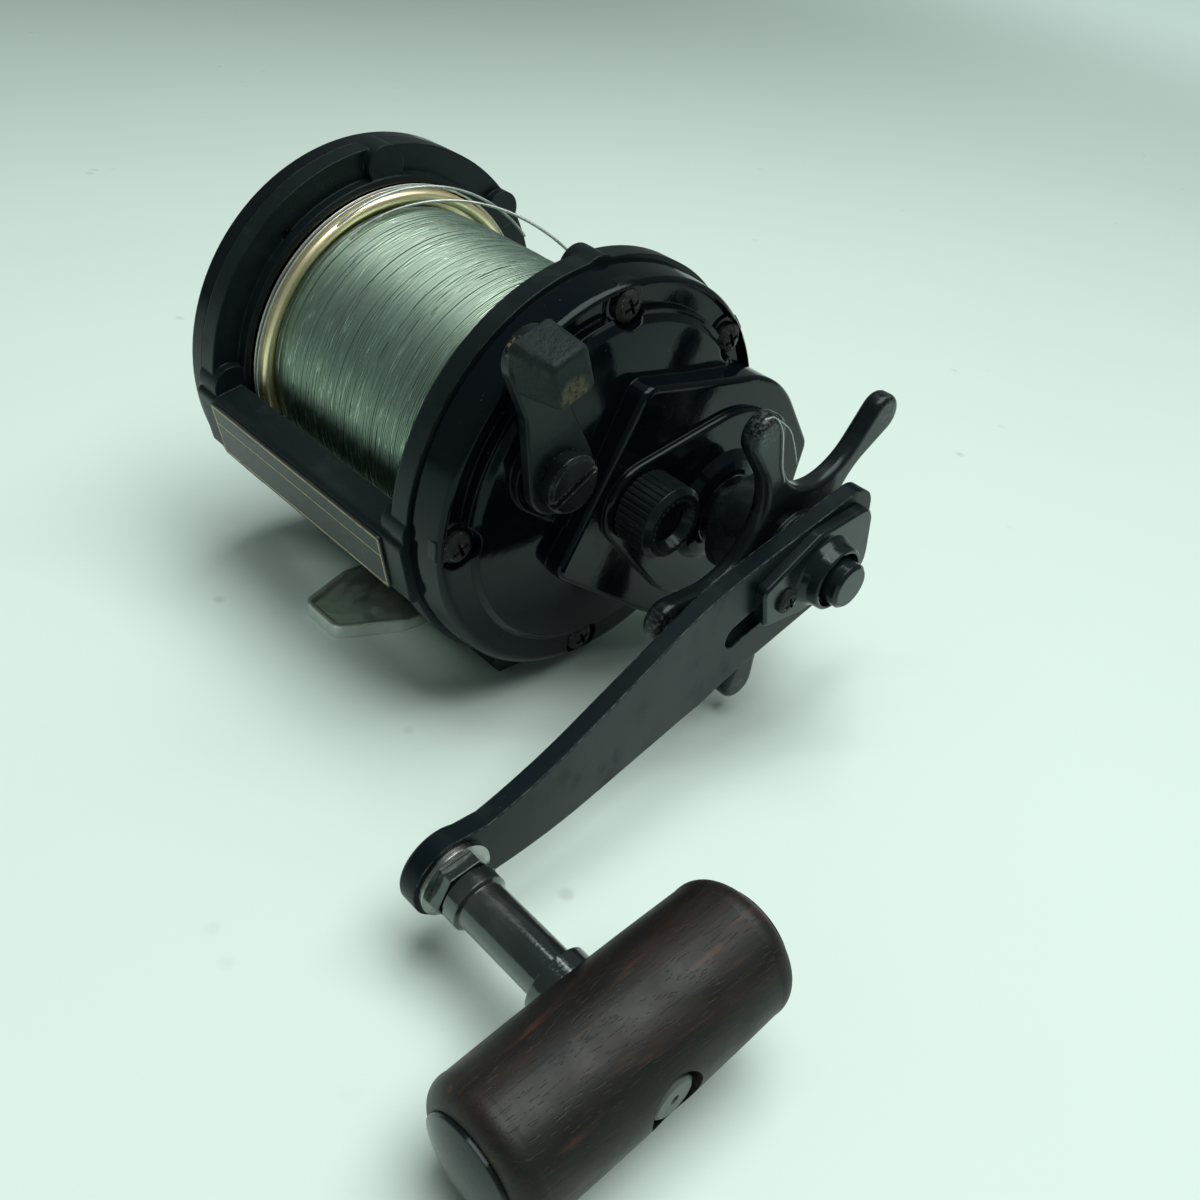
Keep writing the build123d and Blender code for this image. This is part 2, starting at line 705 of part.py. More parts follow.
def cover_channel_shape():
    """Channel between the rim's lip and the ridge; it ends at the rear screw."""
    floor = cover_lip_radius - 0.5
    ring = turned([(cover_channel, channel_radius + 0.5), (cover_channel, floor),
                   (cover_depth + 1, cover_lip_radius + 0.1), (cover_depth + 1, channel_radius)])
    low = polar(screw_circle, screw_angles[2])[1]
    return ring & Pos(0, 0, low + cover_radius) * Box(4 * cover_depth, 3 * cover_radius, 2 * cover_radius)


def cover_shape():
    body = spun(cover_profile()) - cover_channel_shape()
    body += slab(belt(*housing_circles()), 0, housing_depth)
    body = fillet(body.faces().filter_by(Plane.YZ).sort_by(Axis.X)[-1].edges(), housing_round)
    step = slab(belt(*step_circles()), housing_depth - join, step_top)
    body += fillet(step.faces().sort_by(Axis.X)[-1].edges(), step_round)
    inside_lip = bar(cover_lip_radius, 0, housing_depth)
    for centre in cover_screw_places():
        body += bar(screw_boss_radius, 0, cover_seat, centre) & bar(cover_radius - 0.4, 0, cover_depth)
        body -= bar(screw_pocket_radius, cover_seat, housing_depth, centre) & inside_lip
    body += slab(belt((*PIVOT, lever_boss_radius), lever_boss_foot), cover_channel, lever_plane - fit)
    foot, brow, crown = boss_radii
    body += turned([(step_top - join, 0), (step_top - join, foot), (step_top + boss_height * 0.7, brow),
                    (boss_top, crown), (boss_top, 0)], DRIVE)
    body += bar(knob_neck_radius, housing_depth, knob_neck_end)
    body -= slab(belt(*grown(housing_circles(), -cover_wall)), -1, ceiling)
    body -= bar(cover_mouth, -1, cover_channel - cover_wall)
    body += bar(bearing_radius + 1.4, tube_start, housing_depth)
    body += bar(sleeve_bush + 1.6, ceiling - 0.5, housing_depth, DRIVE)
    body += bar(lever_shaft_radius + 1.5, cam_start + cam_thick + fit, cover_channel, PIVOT)
    for post in post_places():
        body += bar(post_radius + post_wall, post_socket, housing_depth - 1, post)
        body -= bar(post_radius + running, 0, housing_depth - 1, post)
    body -= bar(bearing_radius + running, 0, tube_start + right_bearing_width)
    body -= bar(journal_radius + 0.6, 0, knob_neck_end + 1)
    body -= bar(sleeve_bush + running, 0, boss_top + 1, DRIVE)
    body -= bar(lever_shaft_radius + running, -1, lever_plane + 1, PIVOT)
    for centre in cover_screw_places():
        body -= bar(screw_radius + running, -1, cover_depth, centre)
    return body


def post_places():
    """Posts of the pinion yoke, either side of the pinion."""
    return [polar(post_reach, gear_direction + 180 + side * post_spread) for side in (-1, 1)]


def cover_screw_places():
    return [polar(screw_circle, angle) for angle in screw_angles]


def cover_screw_shapes():
    length = cover_seat + ring_width - fit
    return [pan_screw(cover_seat, length, centre) for centre in cover_screw_places()]


def gearbox_plate_shape():
    plate = slab(plate_outline(), -plate_thick, 0)
    plate += bar(pinion_bearing_radius + 1.6, 0, pinion_bearing_top)
    plate -= bar(pinion_bearing_radius + running, -3, 3)
    plate += bar(bush_radius + 1.2, -ring_width, 0, DRIVE)
    plate -= bar(bush_radius + running, -ring_width + 0.8, 1, DRIVE)
    for post in post_places():
        plate -= bar(post_radius + 0.01, -3, 1, post)
    plate -= bar(dog_pin_radius + 0.01, -3, 1, DOG)
    for centre in cover_screw_places():
        plate -= bar(screw_radius + 2 * running, -3, 1, centre)
    return plate


def pinion_bearing_shapes():
    bore = collar_radius + running
    return ball_bearing(pinion_bearing_radius, bore, -plate_thick, pinion_bearing_top, balls=10)


def right_bearing_shapes():
    end = tube_start + right_bearing_width
    return ball_bearing(bearing_radius, journal_radius + running, tube_start, end)


def pinion_shape():
    """Pinion with its clutch collar and the yoke's groove."""
    bore = journal_radius + running
    body = bar(collar_radius, collar_start, collar_end) + bar(groove_radius, collar_end, groove_end)
    body += bar(collar_radius - 0.2, groove_end, groove_end + pinion_lip)
    teeth = toothed(pinion_teeth, SPOOL, gear_direction, module * (pinion_teeth / 2 + 0.9),
                    module * (pinion_teeth / 2 - 1.15))
    body += slab(teeth, groove_end, pinion_end)
    body -= bar(bore, collar_start - 1, pinion_end + 1)
    slot = Pos(collar_start, 0, 0) * Box(2 * clutch_slot, 2 * (pin_radius + 0.12), 2 * pin_half + 1)
    return body - slot


def main_gear_shape():
    """Main gear with a recess for the drag washers."""
    teeth = toothed(gear_teeth, DRIVE, gear_direction + 180 + 180 / gear_teeth,
                    module * (gear_teeth / 2 + 0.9), module * (gear_teeth / 2 - 1.15))
    body = slab(teeth, gear_face, gear_face + gear_width)
    body -= bar(drag_radius + fit, drag_start, gear_face + gear_width + 1, DRIVE)
    return body - bar(drive_radius + running, 0, 20, DRIVE)


def drag_shapes():
    """Alternating friction and metal discs."""
    discs = []
    for i in range(drag_count):
        x0 = drag_start + i * (drag_disc + touch)
        radius = drag_radius if i % 2 == 0 else drag_radius - drag_step
        discs.append(tube(radius, drive_radius + running, x0, x0 + drag_disc, DRIVE))
    return discs


def pressure_plate_shape():
    return tube(drag_radius - drag_step, drive_radius + running, pressure_start, pressure_end, DRIVE)


def drive_shaft_shape():
    tail = -ring_width + 1.0
    shaft = bar(drive_radius, tail, nut_start + nut_thread, DRIVE)
    return shaft + bar(shaft_flange_radius, 0.2, ratchet_start - touch, DRIVE)


def shaft_bush_shape():
    return tube(bush_radius, drive_radius + running, -ring_width + 0.8, 0.15, DRIVE)


def ratchet_shape():
    face = ratchet(ratchet_teeth, DRIVE, dog_direction + 4, ratchet_tip, ratchet_root)
    return slab(face, ratchet_start, ratchet_end) - bar(drive_radius + running, 0, 9, DRIVE)


def ratchet_spacer_shape():
    """Fibre washer between the ratchet and the main gear."""
    return tube(ratchet_washer_radius, drive_radius + running, ratchet_end + touch, gear_face - touch, DRIVE)


def dog_shape():
    """Pawl that stops the handle from turning backwards."""
    tip = polar(ratchet_tip + 0.75, dog_direction + 14, DRIVE)
    body = slab(belt((*tip, dog_tip_radius), (*DOG, dog_root_radius)), ratchet_start + 0.2, ratchet_end - 0.2)
    return body - bar(dog_pin_radius + running, 0, 9, DOG)


def dog_pin_shape():
    pin = bar(dog_pin_radius, -plate_thick, ratchet_end + 1.0, DOG)
    return pin + bar(dog_pin_radius + 0.8, ratchet_end + 0.1, ratchet_end + 0.8, DOG)


def cover_bush_shape():
    return tube(sleeve_bush, drag_sleeve_radius + running, ceiling - 0.5, boss_top, DRIVE)


def drag_sleeve_shape():
    """Sleeve that carries the star's thrust into the drag."""
    end = star_start - star_washer_space
    return tube(drag_sleeve_radius, drive_radius + running, pressure_end + touch, end, DRIVE)


def star_washer_shapes():
    """Cupped spring washers under the star."""
    washers = []
    for i in range(2):
        x0 = star_start - star_washer_space + running + i * 0.92
        rise = star_washer_cup if i == 0 else -star_washer_cup
        inner = x0 + max(0, -rise)
        outer = inner + rise
        washers.append(turned([(inner, drive_radius + running), (outer, star_washer_radius),
                               (outer + star_washer_thick, star_washer_radius),
                               (inner + star_washer_thick, drive_radius + running)], DRIVE))
    return washers


def star_face():
    """Star outline: arms with club ends, run tangent into round valleys."""
    half_step = pi / star_arms
    valley = (star_valley * sin(half_step) - star_waist) / (1 - sin(half_step))
    club = (star_reach - star_tip_radius, 0)
    hollow = polar(star_valley + valley, degrees(half_step))
    du, dv = hollow[0] - club[0], hollow[1] - club[1]
    lean = atan2(dv, du) - acos((star_tip_radius + valley) / hypot(du, dv))
    leave = (club[0] + star_tip_radius * cos(lean), star_tip_radius * sin(lean))
    enter = (hollow[0] - valley * cos(lean), hollow[1] - valley * sin(lean))
    edges = []
    for i in range(star_arms):
        turn = Rot(0, 0, star_twist + 360 * i / star_arms)
        follow = Rot(0, 0, star_twist + 360 * (i + 1) / star_arms)
        edges.append(turn * ThreePointArc((leave[0], -leave[1]), (star_reach, 0), leave))
        edges.append(turn * Line(leave, enter))
        bottom = polar(star_valley, degrees(half_step))
        opposite = follow * Line((enter[0], -enter[1]), (leave[0], -leave[1]))
        near_end = turn * Line(leave, enter) @ 1
        lowest = turn * Line(enter, bottom) @ 1
        edges.append(ThreePointArc(near_end, lowest, opposite @ 0))
        edges.append(opposite)
    return make_face(edges)


def star_shape():
    """Star drag wheel on its stepped hub."""
    blade = slab(star_face(), star_plane, star_plane + star_thick)
    blade = fillet(blade.faces().filter_by(Plane.YZ).edges(), star_edge)
    body = Pos(0, *DRIVE) * blade + bar(star_hub_radius, star_start, star_plane + 1.0, DRIVE)
    body += bar(star_hub_radius - star_hub_step, star_plane, hub_end, DRIVE)
    return body - bar(drive_radius + running, star_start - 1, hub_end + 1, DRIVE)


def arm_spacer_shape():
    return tube(spacer_radius, drive_radius + running, hub_end + running, arm_plane - touch, DRIVE)


# ---------------------------------------------------------------- cast control
def knob_shape():
    """Knurled cap over the bearing tube, with a dished end."""
    x0 = step_top + fit
    x1 = x0 + knob_length
    dish = x1 - knob_dish_depth
    body = turned([(x0, 0), (x0, knob_radius), (x1 - 0.8, knob_radius), (x1, knob_radius - 0.9),
                   (x1, knob_dish_radius), (dish, knob_dish_radius - 0.8), (dish, 0)])
    for i in range(knurl_count):
        body -= bar(knurl_radius, x0 - 1, x1 - 1.0, polar(knob_radius + 0.08, 360 * i / knurl_count))
    return body - bar(knob_neck_radius + running, x0 - 1, knob_neck_end + 0.2)


def brake_shim_shape():
    """Friction shim between the knob and the end of the spool shaft."""
    return bar(journal_radius + 0.4, shaft_end + running, knob_neck_end + 0.1)


# ---------------------------------------------------------------- clutch
def lever_frame():
    """Lever length and its direction."""
    length = hypot(lever_tip_y - pivot_y, lever_tip_z - pivot_z)
    angle = degrees(atan2(lever_tip_z - pivot_z, lever_tip_y - pivot_y))
    return length, angle


def crank_band(origin, angle, stations, x0, thick, width, bend_radius):
    """Bent strip: (distance, rise) stations along a direction from an origin, with rounded bends."""
    upper = [(d, x0 + rise + thick) for d, rise in stations]
    lower = [(d, x0 + rise) for d, rise in reversed(stations)]
    outline = make_face(Polyline(*upper, *lower, close=True))
    bends = outline.vertices().filter_by_position(Axis.X, stations[1][0] - 1, stations[-2][0] + 1)
    outline = fillet(bends, bend_radius)
    plane = Plane(origin=(0, *origin), x_dir=(0, cos(radians(angle)), sin(radians(angle))),
                  z_dir=(0, sin(radians(angle)), -cos(radians(angle))))
    return extrude(plane * outline, amount=width / 2, both=True)


def lever_shape():
    length, angle = lever_frame()
    waist = (*polar(length * lever_waist_at, angle, PIVOT), lever_waist_radius)
    tip = (lever_tip_y, lever_tip_z, lever_tip_radius)
    outline = belt((*PIVOT, lever_eye_radius), waist) + belt(tip, waist)
    blade = slab(outline, lever_plane, lever_plane + lever_thick)
    blade = chamfer(blade.faces().sort_by(Axis.X)[-1].edges(), 0.3)
    shaft = bar(lever_shaft_radius, cam_start - touch, lever_plane + 0.5, PIVOT)
    return blade + shaft - bar(lever_screw_shank, lever_plane - 6, lever_plane + 9, PIVOT)


def pad_shape():
    """Rubber thumb block on the lever's tip, narrower at its free end."""
    length, angle = lever_frame()
    base = lever_plane + lever_thick + touch
    y, z = polar(length + pad_overhang, angle, PIVOT)
    foot = Plane.YZ.offset(base) * Pos(y, z) * Rot(0, 0, angle - 90)
    head = Plane.YZ.offset(base + pad_height) * Pos(y + 0.4, z) * Rot(0, 0, angle - 90)
    low = foot * RectangleRounded(pad_width, pad_length, pad_corner)
    top = head * RectangleRounded(pad_width - pad_narrowing, pad_length - pad_narrowing, pad_corner - fit)
    block = loft([low.face(), top.face()])
    return fillet(block.faces().sort_by(Axis.X)[-1].edges(), pad_edge)


def lever_screw_shape():
    face = lever_plane + lever_thick + touch
    top = face + lever_screw_height
    head = turned([(face, 0), (face, lever_screw_radius), (top - 0.5, lever_screw_radius),
                   (top, lever_screw_radius - 0.5), (top, 0)], PIVOT)
    width, depth = lever_screw_slot
    slot = Pos(top, *PIVOT) * Rot(33, 0, 0) * Box(2 * depth, 3 * lever_screw_radius, width)
    return head - slot + bar(lever_screw_shank - touch, lever_plane - 5, face + join, PIVOT)


def cam_shape():
    """Cam arm on the lever's shaft that lifts the yoke."""
    tip = post_places()[0]
    toward = degrees(atan2(tip[1] - pivot_z, tip[0] - pivot_y))
    end = polar(cam_reach, toward, PIVOT)
    outline = belt((*PIVOT, lever_shaft_radius + 1.8), (*end, cam_tip_radius))
    arm = slab(outline, cam_start, cam_start + cam_thick)
    return arm - bar(lever_shaft_radius + 0.01, -1, cover_channel, PIVOT)


def yoke_shape():
    """Fork in the pinion's groove, carried on two posts."""
    ends = [(*post, post_radius + post_wall) for post in post_places()]
    plate = slab(belt(*ends), yoke_start, yoke_start + yoke_thick)
    plate += bar(yoke_radius, yoke_start, yoke_start + yoke_thick)
    plate -= bar(groove_radius + 0.15, 0, housing_depth)
    for post in post_places():
        plate -= bar(post_radius + running, 0, housing_depth, post)
    return plate


def post_shapes():
    end = ceiling - 0.4
    return [bar(post_radius, -plate_thick, end, post) for post in post_places()]


def spring_shapes():
    """Return springs of the yoke, one round each post."""
    x0 = yoke_start + yoke_thick + fit
    height = post_socket - fit - join - x0
    coil = Helix(pitch=height / spring_turns, height=height, radius=post_radius + spring_wire + fit)
    section = Plane(origin=coil @ 0, z_dir=coil % 0) * Circle(spring_wire)
    spring = sweep(section, path=coil)
    return [Pos(x0, *post) * Rot(0, 90, 0) * spring for post in post_places()]


# ---------------------------------------------------------------- handle
def arm_point(along, across):
    """Point (y, z) from the hub: along the arm, and across it towards its lower edge."""
    c, s = cos(radians(arm_angle)), sin(radians(arm_angle))
    return (shaft_y + along * c + across * -s, shaft_z + along * s + across * c)


def arm_circle(place):
    """Belt circle from (along, across, radius) on the arm."""
    return (*arm_point(place[0], place[1]), place[2])


def arm_shape():
    side = arm_hub_half - arm_hub_corner
    hub = [arm_circle((arm_hub_back, k * side + 0.4, arm_hub_corner)) for k in (1, -1)]
    belly, neck, ring = arm_circle(arm_belly), arm_circle(arm_neck), (*KNOB, arm_ring_radius)
    outline = belt(*hub, belly, neck, belly) + belt(neck, ring)
    solid = slab(outline, arm_plane - 1, end_top + 1)
    start, end = arm_crank
    stations = [(-30, 0), (start, 0), (end, arm_rise), (arm_length + 30, arm_rise)]
    width = 6 * arm_hub_half
    body = solid & crank_band(DRIVE, arm_angle, stations, arm_plane, arm_thick, width, arm_bend_radius)
    boss = bar(arm_ring_radius, end_top - arm_ring_thick, end_top, KNOB)
    body += fillet(boss.edges().group_by(Axis.X)[0], arm_ring_edge)
    near, far = (arm_circle((*place, arm_slot_radius)) for place in arm_slot)
    body -= slab(belt(near, far), arm_plane - 1, arm_top + 1)
    body -= bar(drive_radius + running, arm_plane - 1, arm_top + 1, DRIVE)
    body -= bar(screw_radius + running, arm_plane - 1, arm_top + 1, arm_point(*retainer_screw_at))
    return body - bar(knob_shaft_radius + running, arm_plane, end_top + 1, KNOB)


def nut_shape():
    """Hex nut with a round blind cap."""
    hexagon = Pos(*DRIVE) * Rot(0, 0, arm_angle) * RegularPolygon(nut_hex_radius, 6)
    body = slab(hexagon, nut_start, nut_start + nut_hex_height)
    top = nut_start + nut_height
    body += turned([(nut_start + 1, 0), (nut_start + 1, nut_cap_radius), (top - 0.5, nut_cap_radius),
                    (top, nut_cap_radius - 0.5), (top, 0)], DRIVE)
    return body - bar(drive_radius + touch, nut_start - 1, nut_start + nut_thread + running, DRIVE)


def retainer_shape():
    """Plate that locks the nut, with a tapered collar and a screw ear."""
    face = nut_start + retainer_thick
    rim = nut_start + retainer_collar
    body = slab(belt(*[arm_circle(place) for place in retainer_outline]), nut_start, face)
    body = chamfer(body.faces().sort_by(Axis.X)[-1].edges(), retainer_edge)
    flare = [(face + height, radius) for height, radius in retainer_flare]
    body += turned([(face - join, 0), (face - join, flare[0][1]), *flare[1:], (rim - 0.2, retainer_rim + 0.2),
                    (rim, retainer_rim), (rim, 0)], DRIVE)
    body -= bar(nut_hex_radius + join, nut_start - 1, rim + 1, DRIVE)
    return body - bar(screw_radius + running, nut_start - 1, rim, arm_point(*retainer_screw_at))


def retainer_screw_shape():
    face = nut_start + retainer_thick + touch
    length = retainer_thick + arm_thick - fit
    place = arm_point(*retainer_screw_at)
    return pan_screw(face, length, place, retainer_screw_head, retainer_screw_top)


def knob_shaft_shape():
    """Fixed axle of the knob, riveted behind the arm and headed in the grip's counterbore."""
    rivet = end_top - arm_ring_thick - touch
    head = grip_x + grip_radius - knob_head_inset
    neck = head - knob_head_thick
    tail = rivet - rivet_thick
    shaft = turned([(tail, 0), (tail, rivet_radius - 0.8), (rivet, rivet_radius),
                    (rivet, knob_shaft_radius), (neck, knob_shaft_radius), (neck, knob_head_radius),
                    (head - 0.3, knob_head_radius), (head, knob_head_radius - 0.4), (head, 0)], KNOB)
    return shaft - bar(knob_head_dimple, head - 1.0, head + 1, KNOB)


def knob_washer_shape():
    end = end_top + knob_washer_thick
    return tube(knob_washer_radius, knob_shaft_radius + running, end_top + touch, end, KNOB)


def hex_nut_shape():
    hexagon = Pos(*KNOB) * Rot(0, 0, 10) * RegularPolygon(knob_nut_radius, 6)
    nut = slab(hexagon, knob_nut_start, knob_nut_start + knob_nut_thick)
    return nut - bar(knob_shaft_radius + running, 0, grip_x, KNOB)


def sleeve_shape():
    """Dark metal sleeve that turns with the grip, with a collar at each end."""
    x0 = knob_nut_start + knob_nut_thick + fit
    x1 = grip_x - grip_radius
    bore = knob_shaft_radius + running
    rim = sleeve_radius + sleeve_rim
    foot = sleeve_radius + sleeve_foot
    return turned([(x0, bore), (x0, rim), (x0 + sleeve_rim_width, rim),
                   (x0 + sleeve_rim_width + fit, sleeve_radius), (x1 - 1.6, sleeve_radius), (x1 - 1.2, foot),
                   (x1 + sleeve_sink, foot), (x1 + sleeve_sink, bore)], KNOB)


def grip_profile():
    """Half outline (distance, radius) of the wood, as a face about the X axis."""
    half = grip_length / 2
    start = half - grip_round
    shoulder_radius = grip_radius * (1 - grip_taper)
    bulge = (half - 0.3 * grip_round, shoulder_radius - 0.25 * (shoulder_radius - grip_end_radius))
    left_bulge = (-bulge[0], bulge[1])
    return make_face([ThreePointArc((-start, shoulder_radius), (0, grip_radius), (start, shoulder_radius)),
                      ThreePointArc((start, shoulder_radius), bulge, (half, grip_end_radius)),
                      Line((half, grip_end_radius), (half, 0)), Line((half, 0), (-half, 0)),
                      Line((-half, 0), (-half, grip_end_radius)),
                      ThreePointArc((-half, grip_end_radius), left_bulge, (-start, shoulder_radius))])


def along_grip(shape):
    """Lay a shape made round the X axis along the grip."""
    return Pos(grip_x, *KNOB) * Rot(grip_tilt, 0, 0) * Rot(0, 0, 90) * shape


def grip_shape():
    outer = grip_x + grip_radius
    body = along_grip(revolve(Plane.XZ * grip_profile(), Axis.X))
    body -= bar(knob_shaft_radius + running, 0, outer + 1, KNOB)
    body -= bar(grip_counterbore, outer - counterbore_depth, outer + 1, KNOB)
    socket = grip_x - grip_radius + sleeve_sink + touch
    return body - bar(sleeve_radius + sleeve_foot + touch, 0, socket, KNOB)


def grip_cap_shapes():
    """Domed caps on the ends of the grip."""
    base = grip_length / 2 + touch
    top = base + grip_cap_height
    rise = grip_cap_height - grip_cap_edge
    ball = (grip_cap_radius ** 2 + rise ** 2) / (2 * rise)
    cap = bar(grip_cap_radius, base, top) & Pos(top - ball, 0, 0) * Sphere(ball)
    return [along_grip(Rot(0, 0, turn) * cap) for turn in (0, 180)]


# ---------------------------------------------------------------- all pieces
def pieces():
    """Every node's name and its solids."""
    return {
        "frame": frame_shape(),
        "label_plate": label_shape(),
        "reel_foot": foot_shape(),
        "foot_screws": foot_screw_shapes(),
        "left_side_cover": left_cover_shape(),
        "left_cover_screws": left_screw_shapes(),
        "left_bearing_cap": bearing_cap_shape(),
        "left_spool_bearing": left_bearing_shapes(),
        "click_button": click_button_shape(),
        "click_pawl": click_pawl_shape(),
        "click_gear": click_gear_shape(),
        "spool": spool_shape(),
        "spool_shaft": spool_shaft_shape(),
        "clutch_pin": clutch_pin_shape(),
        "line_winding": line_shape(),
        "handle_side_cover": cover_shape(),
        "cover_screws": cover_screw_shapes(),
        "gearbox_plate": gearbox_plate_shape(),
        "pinion_bearing": pinion_bearing_shapes(),
        "right_spool_bearing": right_bearing_shapes(),
        "brake_shim": brake_shim_shape(),
        "cast_control_knob": knob_shape(),
        "pinion_gear": pinion_shape(),
        "main_gear": main_gear_shape(),
        "drag_washers": drag_shapes(),
        "pressure_plate": pressure_plate_shape(),
        "drive_shaft": drive_shaft_shape(),
        "shaft_bush": shaft_bush_shape(),
        "cover_bush": cover_bush_shape(),
        "anti_reverse_ratchet": ratchet_shape(),
        "ratchet_washer": ratchet_spacer_shape(),
        "anti_reverse_dog": dog_shape(),
        "dog_pin": dog_pin_shape(),
        "drag_sleeve": drag_sleeve_shape(),
        "star_spring_washers": star_washer_shapes(),
        "star_drag_wheel": star_shape(),
        "arm_spacer": arm_spacer_shape(),
        "clutch_lever": lever_shape(),
        "lever_pad": pad_shape(),
        "lever_screw": lever_screw_shape(),
        "clutch_cam": cam_shape(),
        "pinion_yoke": yoke_shape(),
        "yoke_posts": post_shapes(),
        "yoke_springs": spring_shapes(),
        "handle_arm": arm_shape(),
        "handle_nut": nut_shape(),
        "nut_retainer": retainer_shape(),
        "retainer_screw": retainer_screw_shape(),
        "knob_shaft": knob_shaft_shape(),
        "knob_washer": knob_washer_shape(),
        "knob_hex_nut": hex_nut_shape(),
        "knob_sleeve": sleeve_shape(),
        "knob_grip": grip_shape(),
        "grip_end_caps": grip_cap_shapes(),
    }


place = Pos(seam_x, 0, axis_height)
os.makedirs("parts", exist_ok=True)
for name, shape in pieces().items():
    solids = list(shape) if isinstance(shape, (list, ShapeList)) else shape.solids()
    placed = [place * solid for solid in solids]
    whole = placed[0] if len(placed) == 1 else Compound(children=placed)
    export_step(whole, f"parts/{name}.step")
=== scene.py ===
"""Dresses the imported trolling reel: finishes for every node, wound line, trim and a soft studio.

Lengths are in metres in the reel's own frame: X runs along the spool axis to the handle, Y forwards, Z up,
and the origin is the middle of the foot's underside.
"""
import json
import logging
import math
import random
from dataclasses import dataclass
from enum import Enum

import bmesh
import bpy
from mathutils import Euler, Matrix, Vector

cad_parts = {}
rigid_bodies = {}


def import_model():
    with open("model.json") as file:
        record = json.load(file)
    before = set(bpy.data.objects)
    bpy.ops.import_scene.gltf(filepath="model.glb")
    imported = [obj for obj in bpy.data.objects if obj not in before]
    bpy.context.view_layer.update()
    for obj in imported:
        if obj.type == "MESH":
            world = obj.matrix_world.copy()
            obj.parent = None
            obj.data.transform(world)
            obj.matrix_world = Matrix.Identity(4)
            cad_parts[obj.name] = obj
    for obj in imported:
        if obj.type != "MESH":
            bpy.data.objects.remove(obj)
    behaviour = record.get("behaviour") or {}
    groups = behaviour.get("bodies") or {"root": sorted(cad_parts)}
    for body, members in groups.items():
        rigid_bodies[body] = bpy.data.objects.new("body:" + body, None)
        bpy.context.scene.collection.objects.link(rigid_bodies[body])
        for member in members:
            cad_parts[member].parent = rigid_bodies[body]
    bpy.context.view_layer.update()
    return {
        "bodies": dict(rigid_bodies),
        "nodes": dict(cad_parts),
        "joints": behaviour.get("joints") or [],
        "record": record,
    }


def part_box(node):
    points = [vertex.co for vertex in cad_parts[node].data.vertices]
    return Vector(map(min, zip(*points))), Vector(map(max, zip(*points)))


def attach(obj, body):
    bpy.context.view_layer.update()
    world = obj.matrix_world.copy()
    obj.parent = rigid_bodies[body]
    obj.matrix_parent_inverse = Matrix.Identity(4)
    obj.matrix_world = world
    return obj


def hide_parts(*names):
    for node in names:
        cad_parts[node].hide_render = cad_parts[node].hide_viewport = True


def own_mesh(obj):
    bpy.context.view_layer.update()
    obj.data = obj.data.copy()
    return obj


LOG = logging.getLogger("trolling_reel")
MM = 0.001

Socket = bpy.types.NodeSocket
Colour = tuple[float, float, float]
Point = tuple[float, float, float]


class Body(Enum):
    """Moving bodies of the reel that new pieces ride on."""

    REEL = "reel_body"
    STAR = "star"
    SPOOL = "spool"
    KNOB = "cast_knob"


class Grain(Enum):
    """Which way a finish's lines run."""

    ROUND_X = "round"
    NONE = "none"


